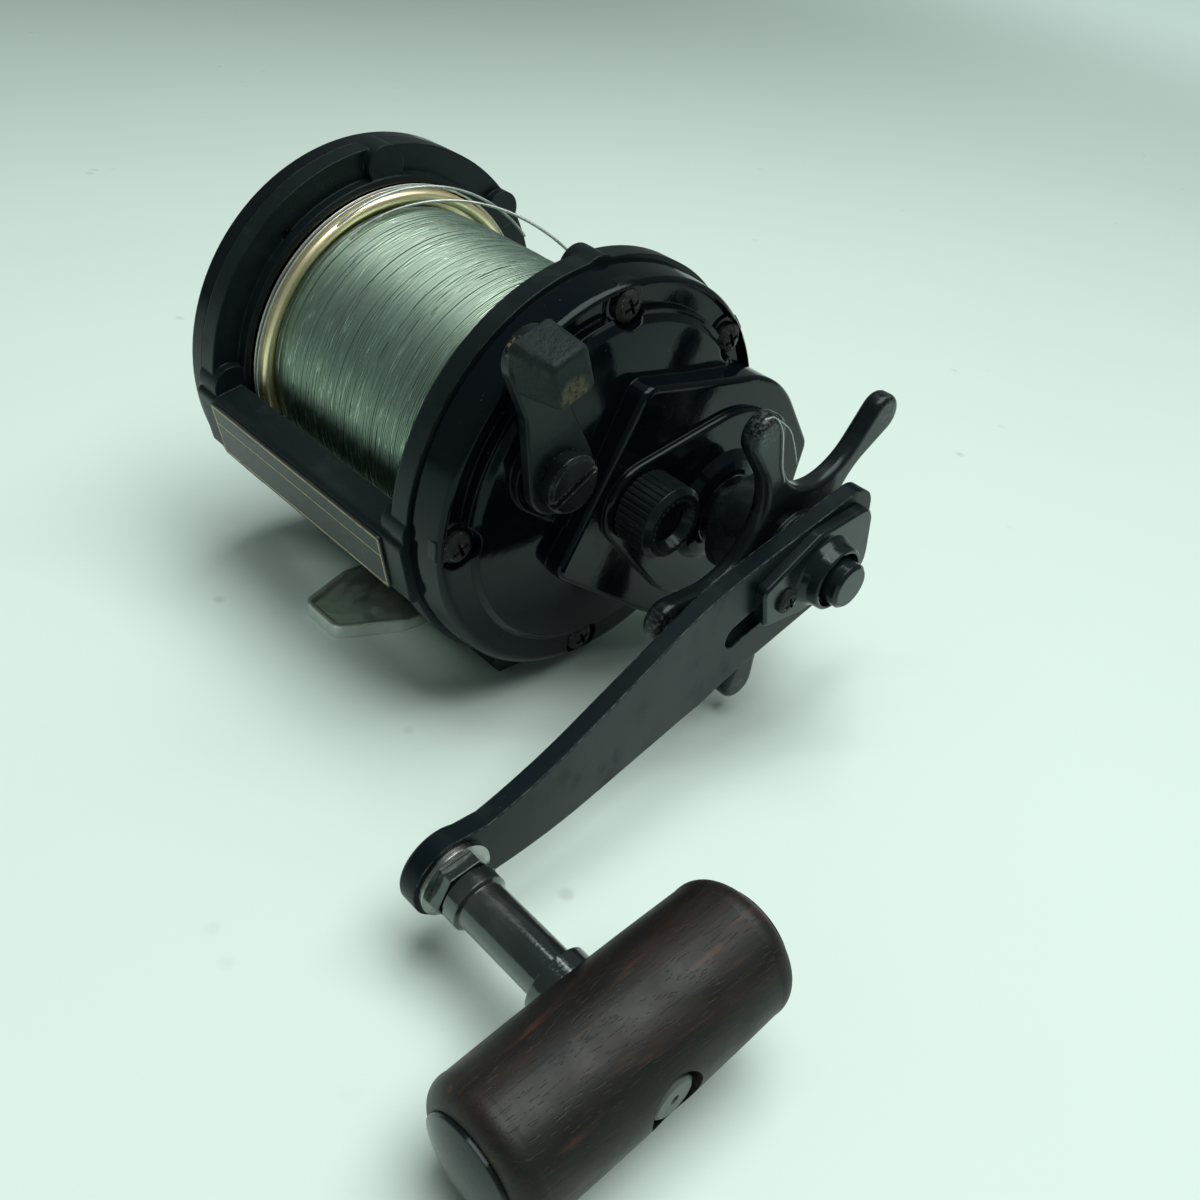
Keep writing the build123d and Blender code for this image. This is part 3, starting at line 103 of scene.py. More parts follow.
# ---------------------------------------------------------------- node graphs
class Graph:
    """A material and short calls that add nodes to its tree."""

    def __init__(self, name: str) -> None:
        """Start a material with only a Principled shader and an output.

        Args:
            name: The material's name.
        """
        self.material = bpy.data.materials.new(name)
        self.material.use_nodes = True
        self.tree = self.material.node_tree
        self.tree.nodes.clear()
        self.shader = self.tree.nodes.new("ShaderNodeBsdfPrincipled")
        output = self.tree.nodes.new("ShaderNodeOutputMaterial")
        self.tree.links.new(self.shader.outputs[0], output.inputs[0])
        self.place = self.node("ShaderNodeTexCoord").outputs["Object"]

    def node(self, kind: str, **settings: object) -> bpy.types.Node:
        """Add a node.

        Args:
            kind: Its bl_idname.
            settings: Attributes to set on it.

        Returns:
            The node.
        """
        made = self.tree.nodes.new(kind)
        for key, value in settings.items():
            setattr(made, key, value)
        return made

    def feed(self, target: Socket, value: Socket | float | Colour) -> None:
        """Link a socket, or set a plain number or colour on it.

        Args:
            target: The input.
            value: What goes into it.
        """
        if isinstance(value, bpy.types.NodeSocket):
            self.tree.links.new(value, target)
        elif isinstance(value, tuple):
            target.default_value = (*value, 1.0) if len(target.default_value) == 4 else value
        else:
            target.default_value = value

    def set(self, **values: Socket | float | Colour) -> None:
        """Feed the shader's inputs; an underscore in a name stands for a space.

        Args:
            values: Input names and what goes into them.
        """
        for key, value in values.items():
            self.feed(self.shader.inputs[key.replace("_", " ")], value)

    def stretched(self, scale: Point, turn: Point = (0.0, 0.0, 0.0),
                  centre: Point = (0.0, 0.0, 0.0)) -> Socket:
        """Object coordinates moved to a centre, turned and scaled.

        Args:
            scale: Factor along each turned axis.
            turn: Euler angles in radians.
            centre: Point that becomes the origin.

        Returns:
            The vector socket.
        """
        moved = self.node("ShaderNodeVectorMath", operation="SUBTRACT")
        self.feed(moved.inputs[0], self.place)
        moved.inputs[1].default_value = centre
        turned = self.node("ShaderNodeMapping")
        self.feed(turned.inputs["Vector"], moved.outputs[0])
        turned.inputs["Rotation"].default_value = turn
        turned.inputs["Scale"].default_value = scale
        return turned.outputs[0]

    def noise(self, scale: float, detail: float = 3.0, rough: float = 0.55, vector: Socket | None = None,
              warp: float = 0.0) -> Socket:
        """Noise value.

        Args:
            scale: Cells per metre, or per unit of the vector given.
            detail: Octaves.
            rough: Strength of each finer octave.
            vector: Coordinates, object coordinates when left out.
            warp: Distortion.

        Returns:
            The factor socket.
        """
        made = self.node("ShaderNodeTexNoise")
        self.feed(made.inputs["Vector"], vector or self.place)
        made.inputs["Scale"].default_value = scale
        made.inputs["Detail"].default_value = detail
        made.inputs["Roughness"].default_value = rough
        made.inputs["Distortion"].default_value = warp
        return made.outputs["Fac"]

    def specks(self, scale: float, vector: Socket | None = None) -> Socket:
        """Distance to the nearest of scattered points.

        Args:
            scale: Points per metre.
            vector: Coordinates, object coordinates when left out.

        Returns:
            The distance socket.
        """
        made = self.node("ShaderNodeTexVoronoi")
        self.feed(made.inputs["Vector"], vector or self.place)
        made.inputs["Scale"].default_value = scale
        return made.outputs["Distance"]

    def ramp(self, value: Socket, low: float, high: float, start: float = 0.0, end: float = 1.0) -> Socket:
        """Map a range of values to another, clamped and smooth.

        Args:
            value: The input.
            low: Value that maps to start.
            high: Value that maps to end.
            start: Output at low.
            end: Output at high.

        Returns:
            The mapped socket.
        """
        made = self.node("ShaderNodeMapRange", interpolation_type="SMOOTHSTEP")
        self.feed(made.inputs["Value"], value)
        for key, number in (("From Min", low), ("From Max", high), ("To Min", start), ("To Max", end)):
            made.inputs[key].default_value = number
        return made.outputs[0]

    def maths(self, operation: str, a: Socket | float, b: Socket | float = 0.0) -> Socket:
        """Two-input maths.

        Args:
            operation: The node's operation.
            a: First input.
            b: Second input.

        Returns:
            The result socket.
        """
        made = self.node("ShaderNodeMath", operation=operation)
        self.feed(made.inputs[0], a)
        self.feed(made.inputs[1], b)
        return made.outputs[0]

    def blend(self, amount: Socket | float, a: Socket | Colour, b: Socket | Colour) -> Socket:
        """Mix two colours.

        Args:
            amount: 0 gives a, 1 gives b.
            a: First colour.
            b: Second colour.

        Returns:
            The colour socket.
        """
        made = self.node("ShaderNodeMix", data_type="RGBA")
        self.feed(made.inputs["Factor"], amount)
        self.feed(made.inputs[6], a)
        self.feed(made.inputs[7], b)
        return made.outputs[2]

    def along(self, axis: str, vector: Socket | None = None) -> Socket:
        """One coordinate.

        Args:
            axis: X, Y or Z.
            vector: Coordinates, object coordinates when left out.

        Returns:
            The value socket.
        """
        made = self.node("ShaderNodeSeparateXYZ")
        self.feed(made.inputs[0], vector or self.place)
        return made.outputs[axis]

    def toward(self, direction: Point) -> Socket:
        """How far a point lies along a direction from the origin, in metres."""
        made = self.node("ShaderNodeVectorMath", operation="DOT_PRODUCT")
        self.feed(made.inputs[0], self.place)
        made.inputs[1].default_value = direction
        return made.outputs["Value"]

    def near(self, centre: Point, reach: float, edge: float) -> Socket:
        """A soft ball: 1 within reach of a point, 0 beyond reach plus edge.

        Args:
            centre: The point.
            reach: Radius of the full part.
            edge: Width of the fade.

        Returns:
            The mask socket.
        """
        made = self.node("ShaderNodeVectorMath", operation="DISTANCE")
        self.feed(made.inputs[0], self.place)
        made.inputs[1].default_value = centre
        return self.ramp(made.outputs["Value"], reach, reach + edge, 1.0, 0.0)

    def edges(self, radius: float) -> Socket:
        """How sharply the surface bends within a radius: 0 on flats, more on edges.

        Args:
            radius: Reach in metres.

        Returns:
            The mask socket.
        """
        bevel = self.node("ShaderNodeBevel", samples=4)
        bevel.inputs["Radius"].default_value = radius
        dot = self.node("ShaderNodeVectorMath", operation="DOT_PRODUCT")
        self.feed(dot.inputs[0], bevel.outputs[0])
        self.feed(dot.inputs[1], self.node("ShaderNodeNewGeometry").outputs["Normal"])
        return self.maths("SUBTRACT", 1.0, dot.outputs["Value"])

    def relief(self, height: Socket, depth: float, strength: float = 1.0, soften: float = 0.0) -> None:
        """Add bump to the shader's normal, over rounded edges if asked.

        Args:
            height: Height from 0 to 1.
            depth: Its size in metres.
            strength: Bump strength.
            soften: Radius of rounded edges.
        """
        bump = self.node("ShaderNodeBump")
        bump.inputs["Strength"].default_value = strength
        bump.inputs["Distance"].default_value = depth
        self.feed(bump.inputs["Height"], height)
        if soften > 0:
            bevel = self.node("ShaderNodeBevel", samples=6)
            bevel.inputs["Radius"].default_value = soften
            self.feed(bump.inputs["Normal"], bevel.outputs[0])
        self.set(Normal=bump.outputs[0])


# ---------------------------------------------------------------- finishes
@dataclass(frozen=True)
class Finish:
    """A named finish; its build method makes the material."""

    name: str

    def build(self) -> bpy.types.Material:
        """Make the material."""
        raise NotImplementedError


@dataclass(frozen=True)
class DarkCoating(Finish):
    """Black paint or moulding: mottled, handled and dusty, with rubbed edges."""

    base: Colour = (0.012, 0.013, 0.014)
    haze: Colour = (0.035, 0.038, 0.038)
    rubbed: Colour = (0.06, 0.062, 0.062)
    gloss: float = 0.4
    variation: float = 0.12
    texture: float = 0.00004
    texture_scale: float = 2600.0
    edge: float = 0.0003
    edge_rub: float = 0.5
    coat: float = 0.0
    dust: float = 0.12
    shine: float = 0.22

    def build(self) -> bpy.types.Material:
        """Make the material.

        Returns:
            The material.
        """
        g = Graph(self.name)
        clouds = g.noise(95.0, 5.0, 0.6)
        smears = g.noise(1.0, 4.0, 0.6, g.stretched((60.0, 260.0, 130.0), (0.5, 0.3, 0.2)))
        haze = g.maths("MULTIPLY", g.ramp(clouds, 0.42, 0.72), g.ramp(smears, 0.35, 0.7))
        colour = g.blend(haze, self.base, self.haze)
        wear = g.maths("MULTIPLY", g.ramp(g.edges(self.edge), 0.02, 0.3),
                       g.ramp(g.noise(700.0, 4.0), 0.4, 0.66))
        colour = g.blend(g.maths("MULTIPLY", wear, self.edge_rub), colour, self.rubbed)
        grit = g.ramp(g.specks(900.0), 0.05, 0.12, 1.0, 0.0)
        grit = g.maths("MULTIPLY", grit, g.ramp(g.noise(210.0, 2.0), 0.56, 0.7))
        colour = g.blend(g.maths("MULTIPLY", grit, self.dust), colour, (0.25, 0.26, 0.24))
        rough = g.ramp(g.maths("ADD", haze, g.maths("MULTIPLY", clouds, 0.5)), 0.1, 1.1,
                       self.gloss - self.variation / 2, self.gloss + self.variation)
        g.set(Base_Color=colour, Roughness=rough, Specular_IOR_Level=self.shine, Coat_Weight=self.coat,
              Specular_Tint=(0.80, 1.0, 1.0), Coat_Roughness=0.05)
        g.relief(g.noise(self.texture_scale, 3.0), self.texture, 0.6, self.edge)
        return g.material


@dataclass(frozen=True)
class WornMetal(Finish):
    """Bare metal with fine lines, stains and a little corrosion."""

    base: Colour = (0.62, 0.61, 0.58)
    stain: Colour = (0.33, 0.30, 0.25)
    gloss: float = 0.3
    grain: Grain = Grain.NONE
    grain_scale: float = 4000.0
    stain_amount: float = 0.5
    pits: float = 0.00003
    edge: float = 0.00015

    def lines(self, g: Graph) -> Socket:
        """Fine lines along the grain.

        Args:
            g: The graph.

        Returns:
            The noise socket.
        """
        if self.grain is Grain.ROUND_X:
            long = self.grain_scale / 60
            return g.noise(1.0, 3.0, 0.6, g.stretched((self.grain_scale, long, long)))
        return g.noise(self.grain_scale / 4, 3.0, 0.6)

    def build(self) -> bpy.types.Material:
        """Make the material.

        Returns:
            The material.
        """
        g = Graph(self.name)
        lines = self.lines(g)
        blotch = g.ramp(g.noise(240.0, 5.0, 0.65, warp=0.4), 0.45, 0.68)
        colour = g.blend(g.maths("MULTIPLY", blotch, self.stain_amount), self.base, self.stain)
        colour = g.blend(g.ramp(lines, 0.35, 0.75, 0.0, 0.25), colour, self.stain)
        rough = g.maths("ADD", g.ramp(lines, 0.3, 0.7, self.gloss - 0.06, self.gloss + 0.1),
                        g.maths("MULTIPLY", blotch, 0.18 * self.stain_amount))
        g.set(Base_Color=colour, Metallic=1.0, Roughness=rough)
        g.relief(g.maths("ADD", lines, g.noise(1500.0, 4.0)), self.pits, 0.5, self.edge)
        return g.material


@dataclass(frozen=True)
class CorrodedScrew(Finish):
    """Dark screw with patches of dark corrosion under a brown crust, and bright rubbed spots."""

    metal: Colour = (0.026, 0.033, 0.032)
    rust: Colour = (0.007, 0.009, 0.008)
    crust: Colour = (0.30, 0.28, 0.19)

    def build(self) -> bpy.types.Material:
        """Make the material.

        Returns:
            The material.
        """
        g = Graph(self.name)
        patches = g.ramp(g.noise(900.0, 5.0, 0.65, warp=0.6), 0.44, 0.58)
        crust = g.ramp(g.noise(2100.0, 4.0, 0.7), 0.60, 0.68)
        colour = g.blend(patches, self.metal, self.rust)
        colour = g.blend(g.maths("MULTIPLY", crust, patches), colour, self.crust)
        g.set(Base_Color=colour, Metallic=g.ramp(patches, 0.0, 1.0, 0.9, 0.25),
              Roughness=g.ramp(patches, 0.0, 1.0, 0.32, 0.7))
        g.relief(g.maths("ADD", crust, patches), 0.00012, 0.7, 0.0001)
        return g.material


@dataclass(frozen=True)
class Anodised(Finish):
    """Champagne anodised spool, turned, with dull patches."""

    base: Colour = (0.97, 0.87, 0.55)
    dull: Colour = (0.86, 0.76, 0.46)

    def build(self) -> bpy.types.Material:
        """Make the material.

        Returns:
            The material.
        """
        g = Graph(self.name)
        turned = g.noise(1.0, 3.0, 0.6, g.stretched((5200.0, 60.0, 60.0)))
        patches = g.ramp(g.noise(160.0, 4.0), 0.45, 0.7)
        g.set(Base_Color=g.blend(g.maths("MULTIPLY", patches, 0.5), self.base, self.dull), Metallic=0.9,
              Roughness=g.ramp(g.maths("ADD", turned, patches), 0.4, 1.6, 0.34, 0.46))
        g.relief(turned, 0.00002, 0.4, 0.0002)
        return g.material


@dataclass(frozen=True)
class FishingLine(Finish):
    """Glassy line: dark green-grey in its depth, pale sheen on top, bluish turns and bright specks of painted
    glint.
    """

    pale: Colour = (0.036, 0.072, 0.058)
    deep: Colour = (0.004, 0.014, 0.015)
    blue: Colour = (0.012, 0.032, 0.050)
    sheen: Colour = (0.78, 1.0, 0.80)
    clear: float = 0.0

    def build(self) -> bpy.types.Material:
        """Make the material.

        Returns:
            The material.
        """
        g = Graph(self.name)
        turns = g.noise(1.0, 2.0, 0.5, g.stretched((1500.0, 45.0, 45.0)))
        bands = g.noise(1.0, 3.0, 0.6, g.stretched((330.0, 55.0, 55.0)))
        colour = g.blend(g.ramp(turns, 0.38, 0.66), self.pale, self.deep)
        colour = g.blend(g.ramp(bands, 0.48, 0.7, 0.0, 0.75), colour, self.blue)
        # Painted glints: bright specks lighten the base colour, and their lower roughness adds real sparkle.
        painted_glint = g.ramp(g.noise(1.0, 2.0, 0.6, g.stretched((3000.0, 300.0, 300.0))), 0.575, 0.65)
        colour = g.blend(g.maths("MULTIPLY", painted_glint, 0.3), colour, (0.66, 0.86, 0.76))
        g.set(Base_Color=colour, Roughness=g.ramp(painted_glint, 0.0, 1.0, 0.42, 0.12), IOR=3.7,
              Specular_Tint=self.sheen, Transmission_Weight=self.clear)
        g.relief(turns, 0.00006, 0.5)
        return g.material


@dataclass(frozen=True)
class Rosewood(Finish):
    """Oiled dark rosewood with reddish streaks and open pores along the grip."""

    centre: Point = (0.096, -0.053, 0.013)
    tilt: float = 0.14
    heart: Colour = (0.008, 0.0065, 0.006)
    brown: Colour = (0.022, 0.013, 0.010)
    red: Colour = (0.075, 0.030, 0.017)

    def build(self) -> bpy.types.Material:
        """Make the material.

        Returns:
            The material.
        """
        g = Graph(self.name)
        back = (-self.tilt, 0.0, 0.0)
        wide = g.noise(1.0, 4.0, 0.6, g.stretched((330.0, 18.0, 330.0), back, self.centre), 0.25)
        fine = g.noise(1.0, 3.0, 0.65, g.stretched((1500.0, 42.0, 1500.0), back, self.centre))
        streak = g.noise(1.0, 2.0, 0.5, g.stretched((700.0, 13.0, 700.0), back, self.centre))
        pores = g.noise(1.0, 2.0, 0.5, g.stretched((4200.0, 90.0, 4200.0), back, self.centre))
        colour = g.blend(g.ramp(wide, 0.36, 0.66), self.heart, self.brown)
        colour = g.blend(g.ramp(fine, 0.45, 0.75, 0.0, 0.55), colour, self.heart)
        colour = g.blend(g.ramp(streak, 0.60, 0.76, 0.0, 0.7), colour, self.red)
        dark = g.ramp(pores, 0.60, 0.70)
        colour = g.blend(g.maths("MULTIPLY", dark, 0.7), colour, (0.006, 0.003, 0.003))
        wax = g.noise(150.0, 4.0, 0.6)
        g.set(Base_Color=colour, Roughness=g.ramp(wax, 0.3, 0.7, 0.42, 0.58), Specular_IOR_Level=0.34,
              Specular_Tint=(0.86, 1.0, 0.98), Coat_Weight=0.05, Coat_Roughness=0.35)
        g.relief(g.maths("SUBTRACT", fine, dark), 0.00006, 0.5)
        return g.material


@dataclass(frozen=True)
class WornRubber(Finish):
    """Old rubber block, greenish black, with a rubbed brown patch on its face."""

    patch: Point = (0.0465, -0.0243, 0.0640)
    base: Colour = (0.006, 0.009, 0.009)
    dusty: Colour = (0.015, 0.020, 0.018)
    bare: Colour = (0.085, 0.072, 0.040)

    def build(self) -> bpy.types.Material:
        """Make the material.

        Returns:
            The material.
        """
        g = Graph(self.name)
        blotch = g.ramp(g.noise(330.0, 5.0, 0.65), 0.4, 0.7)
        colour = g.blend(blotch, self.base, self.dusty)
        ragged = g.ramp(g.noise(800.0, 5.0, 0.7), 0.38, 0.54)
        colour = g.blend(g.maths("MULTIPLY", g.near(self.patch, 0.0017, 0.0012), ragged), colour, self.bare)
        wear = g.ramp(g.edges(0.0007), 0.03, 0.35)
        colour = g.blend(g.maths("MULTIPLY", wear, g.maths("MULTIPLY", ragged, 0.7)), colour, self.dusty)
        g.set(Base_Color=colour, Roughness=g.ramp(blotch, 0.0, 1.0, 0.5, 0.75), Specular_IOR_Level=0.28,
              Specular_Tint=(0.70, 1.0, 0.95))
        g.relief(g.maths("ADD", g.noise(1300.0, 5.0, 0.7), blotch), 0.00022, 0.6, 0.0004)
        return g.material


@dataclass(frozen=True)
class RubbedCoating(Finish):
    """Gloss or satin black with chosen places rubbed through to the metal."""

    places: tuple[Point, ...] = ()
    reach: float = 0.002
    fade: float = 0.004
    bare: Colour = (0.55, 0.54, 0.50)
    base: Colour = (0.005, 0.008, 0.009)
    gloss: float = 0.2
    edge: float = 0.0003
    amount: float = 1.0
    everywhere: float = 0.25

    def build(self) -> bpy.types.Material:
        """Make the material.

        Returns:
            The material.
        """
        g = Graph(self.name)
        clouds = g.noise(130.0, 5.0, 0.6)
        ragged = g.ramp(g.noise(1.0, 5.0, 0.7, g.stretched((1300.0, 1900.0, 1900.0))), 0.48, 0.62)
        rims = g.ramp(g.edges(self.edge), 0.03, 0.35)
        worn = g.maths("MULTIPLY", g.maths("MULTIPLY", rims, ragged), self.everywhere)
        for spot in self.places:
            patch = g.maths("MULTIPLY", g.near(spot, self.reach, self.fade), ragged)
            worn = g.maths("MAXIMUM", worn, g.maths("MULTIPLY", patch, self.amount))
        haze = g.ramp(clouds, 0.45, 0.75, 0.0, 0.6)
        colour = g.blend(worn, g.blend(haze, self.base, (0.014, 0.018, 0.018)), self.bare)
        g.set(Base_Color=colour, Metallic=g.maths("MULTIPLY", worn, 0.9),
              Roughness=g.ramp(clouds, 0.35, 0.7, self.gloss, self.gloss + 0.14), Specular_IOR_Level=0.24,
              Specular_Tint=(0.80, 1.0, 1.0), Coat_Weight=0.1, Coat_Roughness=0.08)
        g.relief(g.maths("SUBTRACT", g.noise(900.0, 4.0), worn), 0.00005, 0.5, self.edge)
        return g.material


@dataclass(frozen=True)
class PlainLacquer(Finish):
    """Thin painted or printed line with slightly broken edges."""

    base: Colour = (0.62, 0.50, 0.26)

    def build(self) -> bpy.types.Material:
        """Make the material.

        Returns:
            The material.
        """
        g = Graph(self.name)
        rub = g.ramp(g.noise(900.0, 4.0, 0.7), 0.5, 0.7, 0.0, 0.8)
        g.set(Base_Color=g.blend(rub, self.base, (0.08, 0.07, 0.05)), Metallic=0.6, Roughness=0.4)
        g.relief(g.noise(2500.0), 0.00002)
        return g.material


@dataclass(frozen=True)
class WovenDisc(Finish):
    """Dark woven friction material."""

    base: Colour = (0.03, 0.028, 0.025)

    def build(self) -> bpy.types.Material:
        """Make the material.

        Returns:
            The material.
        """
        g = Graph(self.name)
        weave = g.maths("MULTIPLY", g.noise(1.0, 1.0, 0.5, g.stretched((900.0, 2500.0, 400.0))),
                        g.noise(1.0, 1.0, 0.5, g.stretched((900.0, 400.0, 2500.0))))
        g.set(Base_Color=g.blend(g.ramp(weave, 0.15, 0.4), self.base, (0.11, 0.10, 0.09)), Roughness=0.85)
        g.relief(weave, 0.0002)
        return g.material


@dataclass(frozen=True)
class PaleTable(Finish):
    """Matt mint-white table top with faint marks, painted shade that darkens it towards one side, and a
    painted glow that lightens it towards +Y.
    """

    base: Colour = (0.74, 0.90, 0.83)
    # far is a painted shade colour: the floor darkens towards it along one direction, standing in for light
    # falling off.
    far: Colour = (0.50, 0.62, 0.57)
    painted_shade_direction: Point = (-0.98, -0.2, 0.0)
    fade: tuple[float, float] = (0.06, 0.55)
    # Painted glow: the floor emits light rising towards +Y, seen only by the camera and in shiny surfaces,
    # standing in for lamp light there.
    painted_glow: Colour = (0.79, 1.0, 0.93)
    painted_glow_rise: tuple[float, float, float] = (0.25, 1.6, 0.5)

    def build(self) -> bpy.types.Material:
        """Make the material.

        Returns:
            The material.
        """
        g = Graph(self.name)
        soft = g.noise(7.0, 3.0, 0.5)
        # Painted shade: darken the floor towards the far colour along one direction.
        painted_falloff = g.ramp(g.toward(self.painted_shade_direction), *self.fade)
        marks = g.maths("MULTIPLY", g.ramp(g.specks(62.0), 0.03, 0.10, 1.0, 0.0),
                        g.ramp(g.noise(9.0), 0.52, 0.62))
        colour = g.blend(painted_falloff, self.base, self.far)
        colour = g.blend(g.ramp(soft, 0.35, 0.7, 0.0, 0.06), colour, self.far)
        colour = g.blend(g.maths("MULTIPLY", marks, 0.35), colour, (0.35, 0.40, 0.36))
        # Painted glow rising towards +Y, for camera and glossy rays only.
        near, distant, level = self.painted_glow_rise
        painted_glow = g.maths("MULTIPLY", g.ramp(g.toward((0.0, 1.0, 0.0)), near, distant, 0.0, level), self.seen(g))
        g.set(Base_Color=colour, Roughness=0.62, Specular_IOR_Level=0.25, Emission_Color=self.painted_glow,
              Emission_Strength=painted_glow)
        g.relief(g.noise(700.0), 0.00005, 0.3)
        return g.material

    def seen(self, g: Graph) -> Socket:
        """1 for what the camera sees, straight or in a shiny surface, and 0 for soft light.

        Args:
            g: The graph.

        Returns:
            The socket.
        """
        path = g.node("ShaderNodeLightPath").outputs
        return g.maths("MAXIMUM", path["Is Camera Ray"],
                       g.maths("MAXIMUM", path["Is Glossy Ray"], path["Is Transmission Ray"]))


class Finishes:
    """Every finish of the reel, built once and found by name."""

    def __init__(self) -> None:
        """Build the finishes."""
        star_tips = StarWheel().tip_places()
        lever = ClutchLever()
        recipes = [
            DarkCoating("satin_frame", base=(0.005, 0.009, 0.010), haze=(0.014, 0.019, 0.019), gloss=0.4,
                        texture=0.00005, edge=0.0004, edge_rub=0.4),
            DarkCoating("gloss_cover", base=(0.002, 0.004, 0.006), haze=(0.004, 0.007, 0.008), gloss=0.12,
                        variation=0.08, texture=0.00002, texture_scale=900.0, edge=0.0004, edge_rub=0.15,
                        coat=0.06, dust=0.2, shine=0.17),
            DarkCoating("dull_cap", base=(0.005, 0.008, 0.009), haze=(0.014, 0.018, 0.018), gloss=0.24,
                        edge=0.0002, edge_rub=0.5),
            # On the arm the light rubbed edge colour is partly edge wear and partly a painted highlight along
            # its ridges.
            DarkCoating("satin_arm", base=(0.003, 0.007, 0.009), haze=(0.007, 0.012, 0.013), gloss=0.35,
                        texture=0.00002, edge=0.0004, edge_rub=1.0, rubbed=(0.16, 0.175, 0.17), shine=0.15),
            DarkCoating("gunmetal", base=(0.007, 0.011, 0.012), haze=(0.020, 0.024, 0.024), gloss=0.22,
                        edge=0.0003, edge_rub=0.6, coat=0.1, shine=0.26),
            DarkCoating("worn_sleeve", base=(0.010, 0.014, 0.013), haze=(0.040, 0.042, 0.036), gloss=0.15,
                        edge=0.0003, edge_rub=0.9, coat=0.7, dust=0.6, shine=0.8),
            DarkCoating("grip_black", base=(0.006, 0.009, 0.010), haze=(0.016, 0.020, 0.020), gloss=0.22,
                        edge=0.0004, edge_rub=0.3, coat=0.15),
            DarkCoating("grey_disc", base=(0.10, 0.112, 0.105), haze=(0.15, 0.16, 0.15), gloss=0.45,
                        rubbed=(0.30, 0.30, 0.28)),
            DarkCoating("label_black", base=(0.016, 0.017, 0.016), haze=(0.05, 0.05, 0.045), gloss=0.3,
                        texture=0.00001, edge=0.0001, edge_rub=0.3),
            WornMetal("stainless", base=(0.92, 0.96, 0.92), stain=(0.66, 0.69, 0.64), gloss=0.34,
                      grain_scale=1200.0, stain_amount=0.3, pits=0.000006, edge=0.0007),
            WornMetal("turned_steel", grain=Grain.ROUND_X, gloss=0.28),
            WornMetal("washer_steel", base=(0.42, 0.44, 0.42), stain=(0.10, 0.11, 0.10), gloss=0.2,
                      grain=Grain.ROUND_X, stain_amount=0.8),
            WornMetal("bearing_steel", base=(0.7, 0.7, 0.7), gloss=0.15, stain_amount=0.15),
            WornMetal("cut_brass", base=(0.70, 0.50, 0.20), stain=(0.35, 0.22, 0.08), gloss=0.3),
            CorrodedScrew("corroded_screw"),
            Anodised("gold_spool"),
            FishingLine("wound_line"),
            FishingLine("clear_strand", pale=(0.50, 0.58, 0.54), deep=(0.34, 0.42, 0.40),
                        sheen=(0.95, 1.0, 0.95), clear=0.3),
            Rosewood("rosewood"),
            WornRubber("worn_rubber"),
            RubbedCoating("star_enamel", places=star_tips, reach=0.0012, fade=0.0034, gloss=0.18, edge=0.0006,
                          bare=(0.20, 0.22, 0.21), amount=0.5, everywhere=0.35),
            RubbedCoating("lever_coating", places=(lever.rubbed_edge,), reach=0.0006, fade=0.0018, gloss=0.3,
                          bare=(0.42, 0.37, 0.22), amount=0.8, everywhere=0.12),
            RubbedCoating("screw_coating", places=(), bare=(0.6, 0.6, 0.57), gloss=0.22, edge=0.0003,
                          everywhere=0.8),
            PlainLacquer("gold_rule"),
            WovenDisc("drag_fibre"),
            PaleTable("pale_table"),
        ]
        self.made = {recipe.name: recipe.build() for recipe in recipes}

    def __getitem__(self, name: str) -> bpy.types.Material:
        """The material of that name."""
        return self.made[name]


NODE_FINISH = {
    "satin_frame": ("frame",),
    "gloss_cover": ("left_side_cover", "handle_side_cover"),
    "dull_cap": ("left_bearing_cap", "click_button", "cast_control_knob", "cover_bush"),
    "satin_arm": ("handle_arm",),
    "gunmetal": ("nut_retainer", "handle_nut", "drag_sleeve", "star_spring_washers", "arm_spacer"),
    "worn_sleeve": ("knob_sleeve", "knob_hex_nut"),
    "grip_black": ("grip_end_caps",),
    "label_black": ("label_plate",),
    "stainless": ("reel_foot", "foot_screws"),
    "washer_steel": ("knob_washer",),
    "turned_steel": ("spool_shaft", "clutch_pin", "click_pawl", "gearbox_plate", "pressure_plate",
                     "drive_shaft", "anti_reverse_ratchet", "anti_reverse_dog", "dog_pin", "clutch_cam",
                     "pinion_yoke", "yoke_posts", "yoke_springs"),
    "grey_disc": ("knob_shaft",),
    "bearing_steel": ("left_spool_bearing", "pinion_bearing", "right_spool_bearing"),
    "cut_brass": ("click_gear", "brake_shim", "pinion_gear", "main_gear", "shaft_bush"),
    "corroded_screw": ("left_cover_screws", "cover_screws", "retainer_screw"),
    "gold_spool": ("spool",),
    "wound_line": ("line_winding",),
    "rosewood": ("knob_grip",),
    "worn_rubber": ("lever_pad",),
    "star_enamel": ("star_drag_wheel",),
    "lever_coating": ("clutch_lever",),
    "screw_coating": ("lever_screw",),
    "drag_fibre": ("drag_washers", "ratchet_washer"),
}


# ---------------------------------------------------------------- mesh helpers
def add_object(name: str, data: bmesh.types.BMesh, material: bpy.types.Material,
               smooth: bool = True) -> bpy.types.Object:
    """Turn a bmesh into a scene object.

    Args:
        name: The piece's name.
        data: Its mesh; freed here.
        material: Its finish.
        smooth: Shade it smooth.

    Returns:
        The object.
    """
    mesh = bpy.data.meshes.new(name)
    bmesh.ops.recalc_face_normals(data, faces=data.faces)
    data.to_mesh(mesh)
    data.free()
    mesh.materials.append(material)
    for face in mesh.polygons:
        face.use_smooth = smooth
    made = bpy.data.objects.new(name, mesh)
    bpy.context.scene.collection.objects.link(made)
    return made


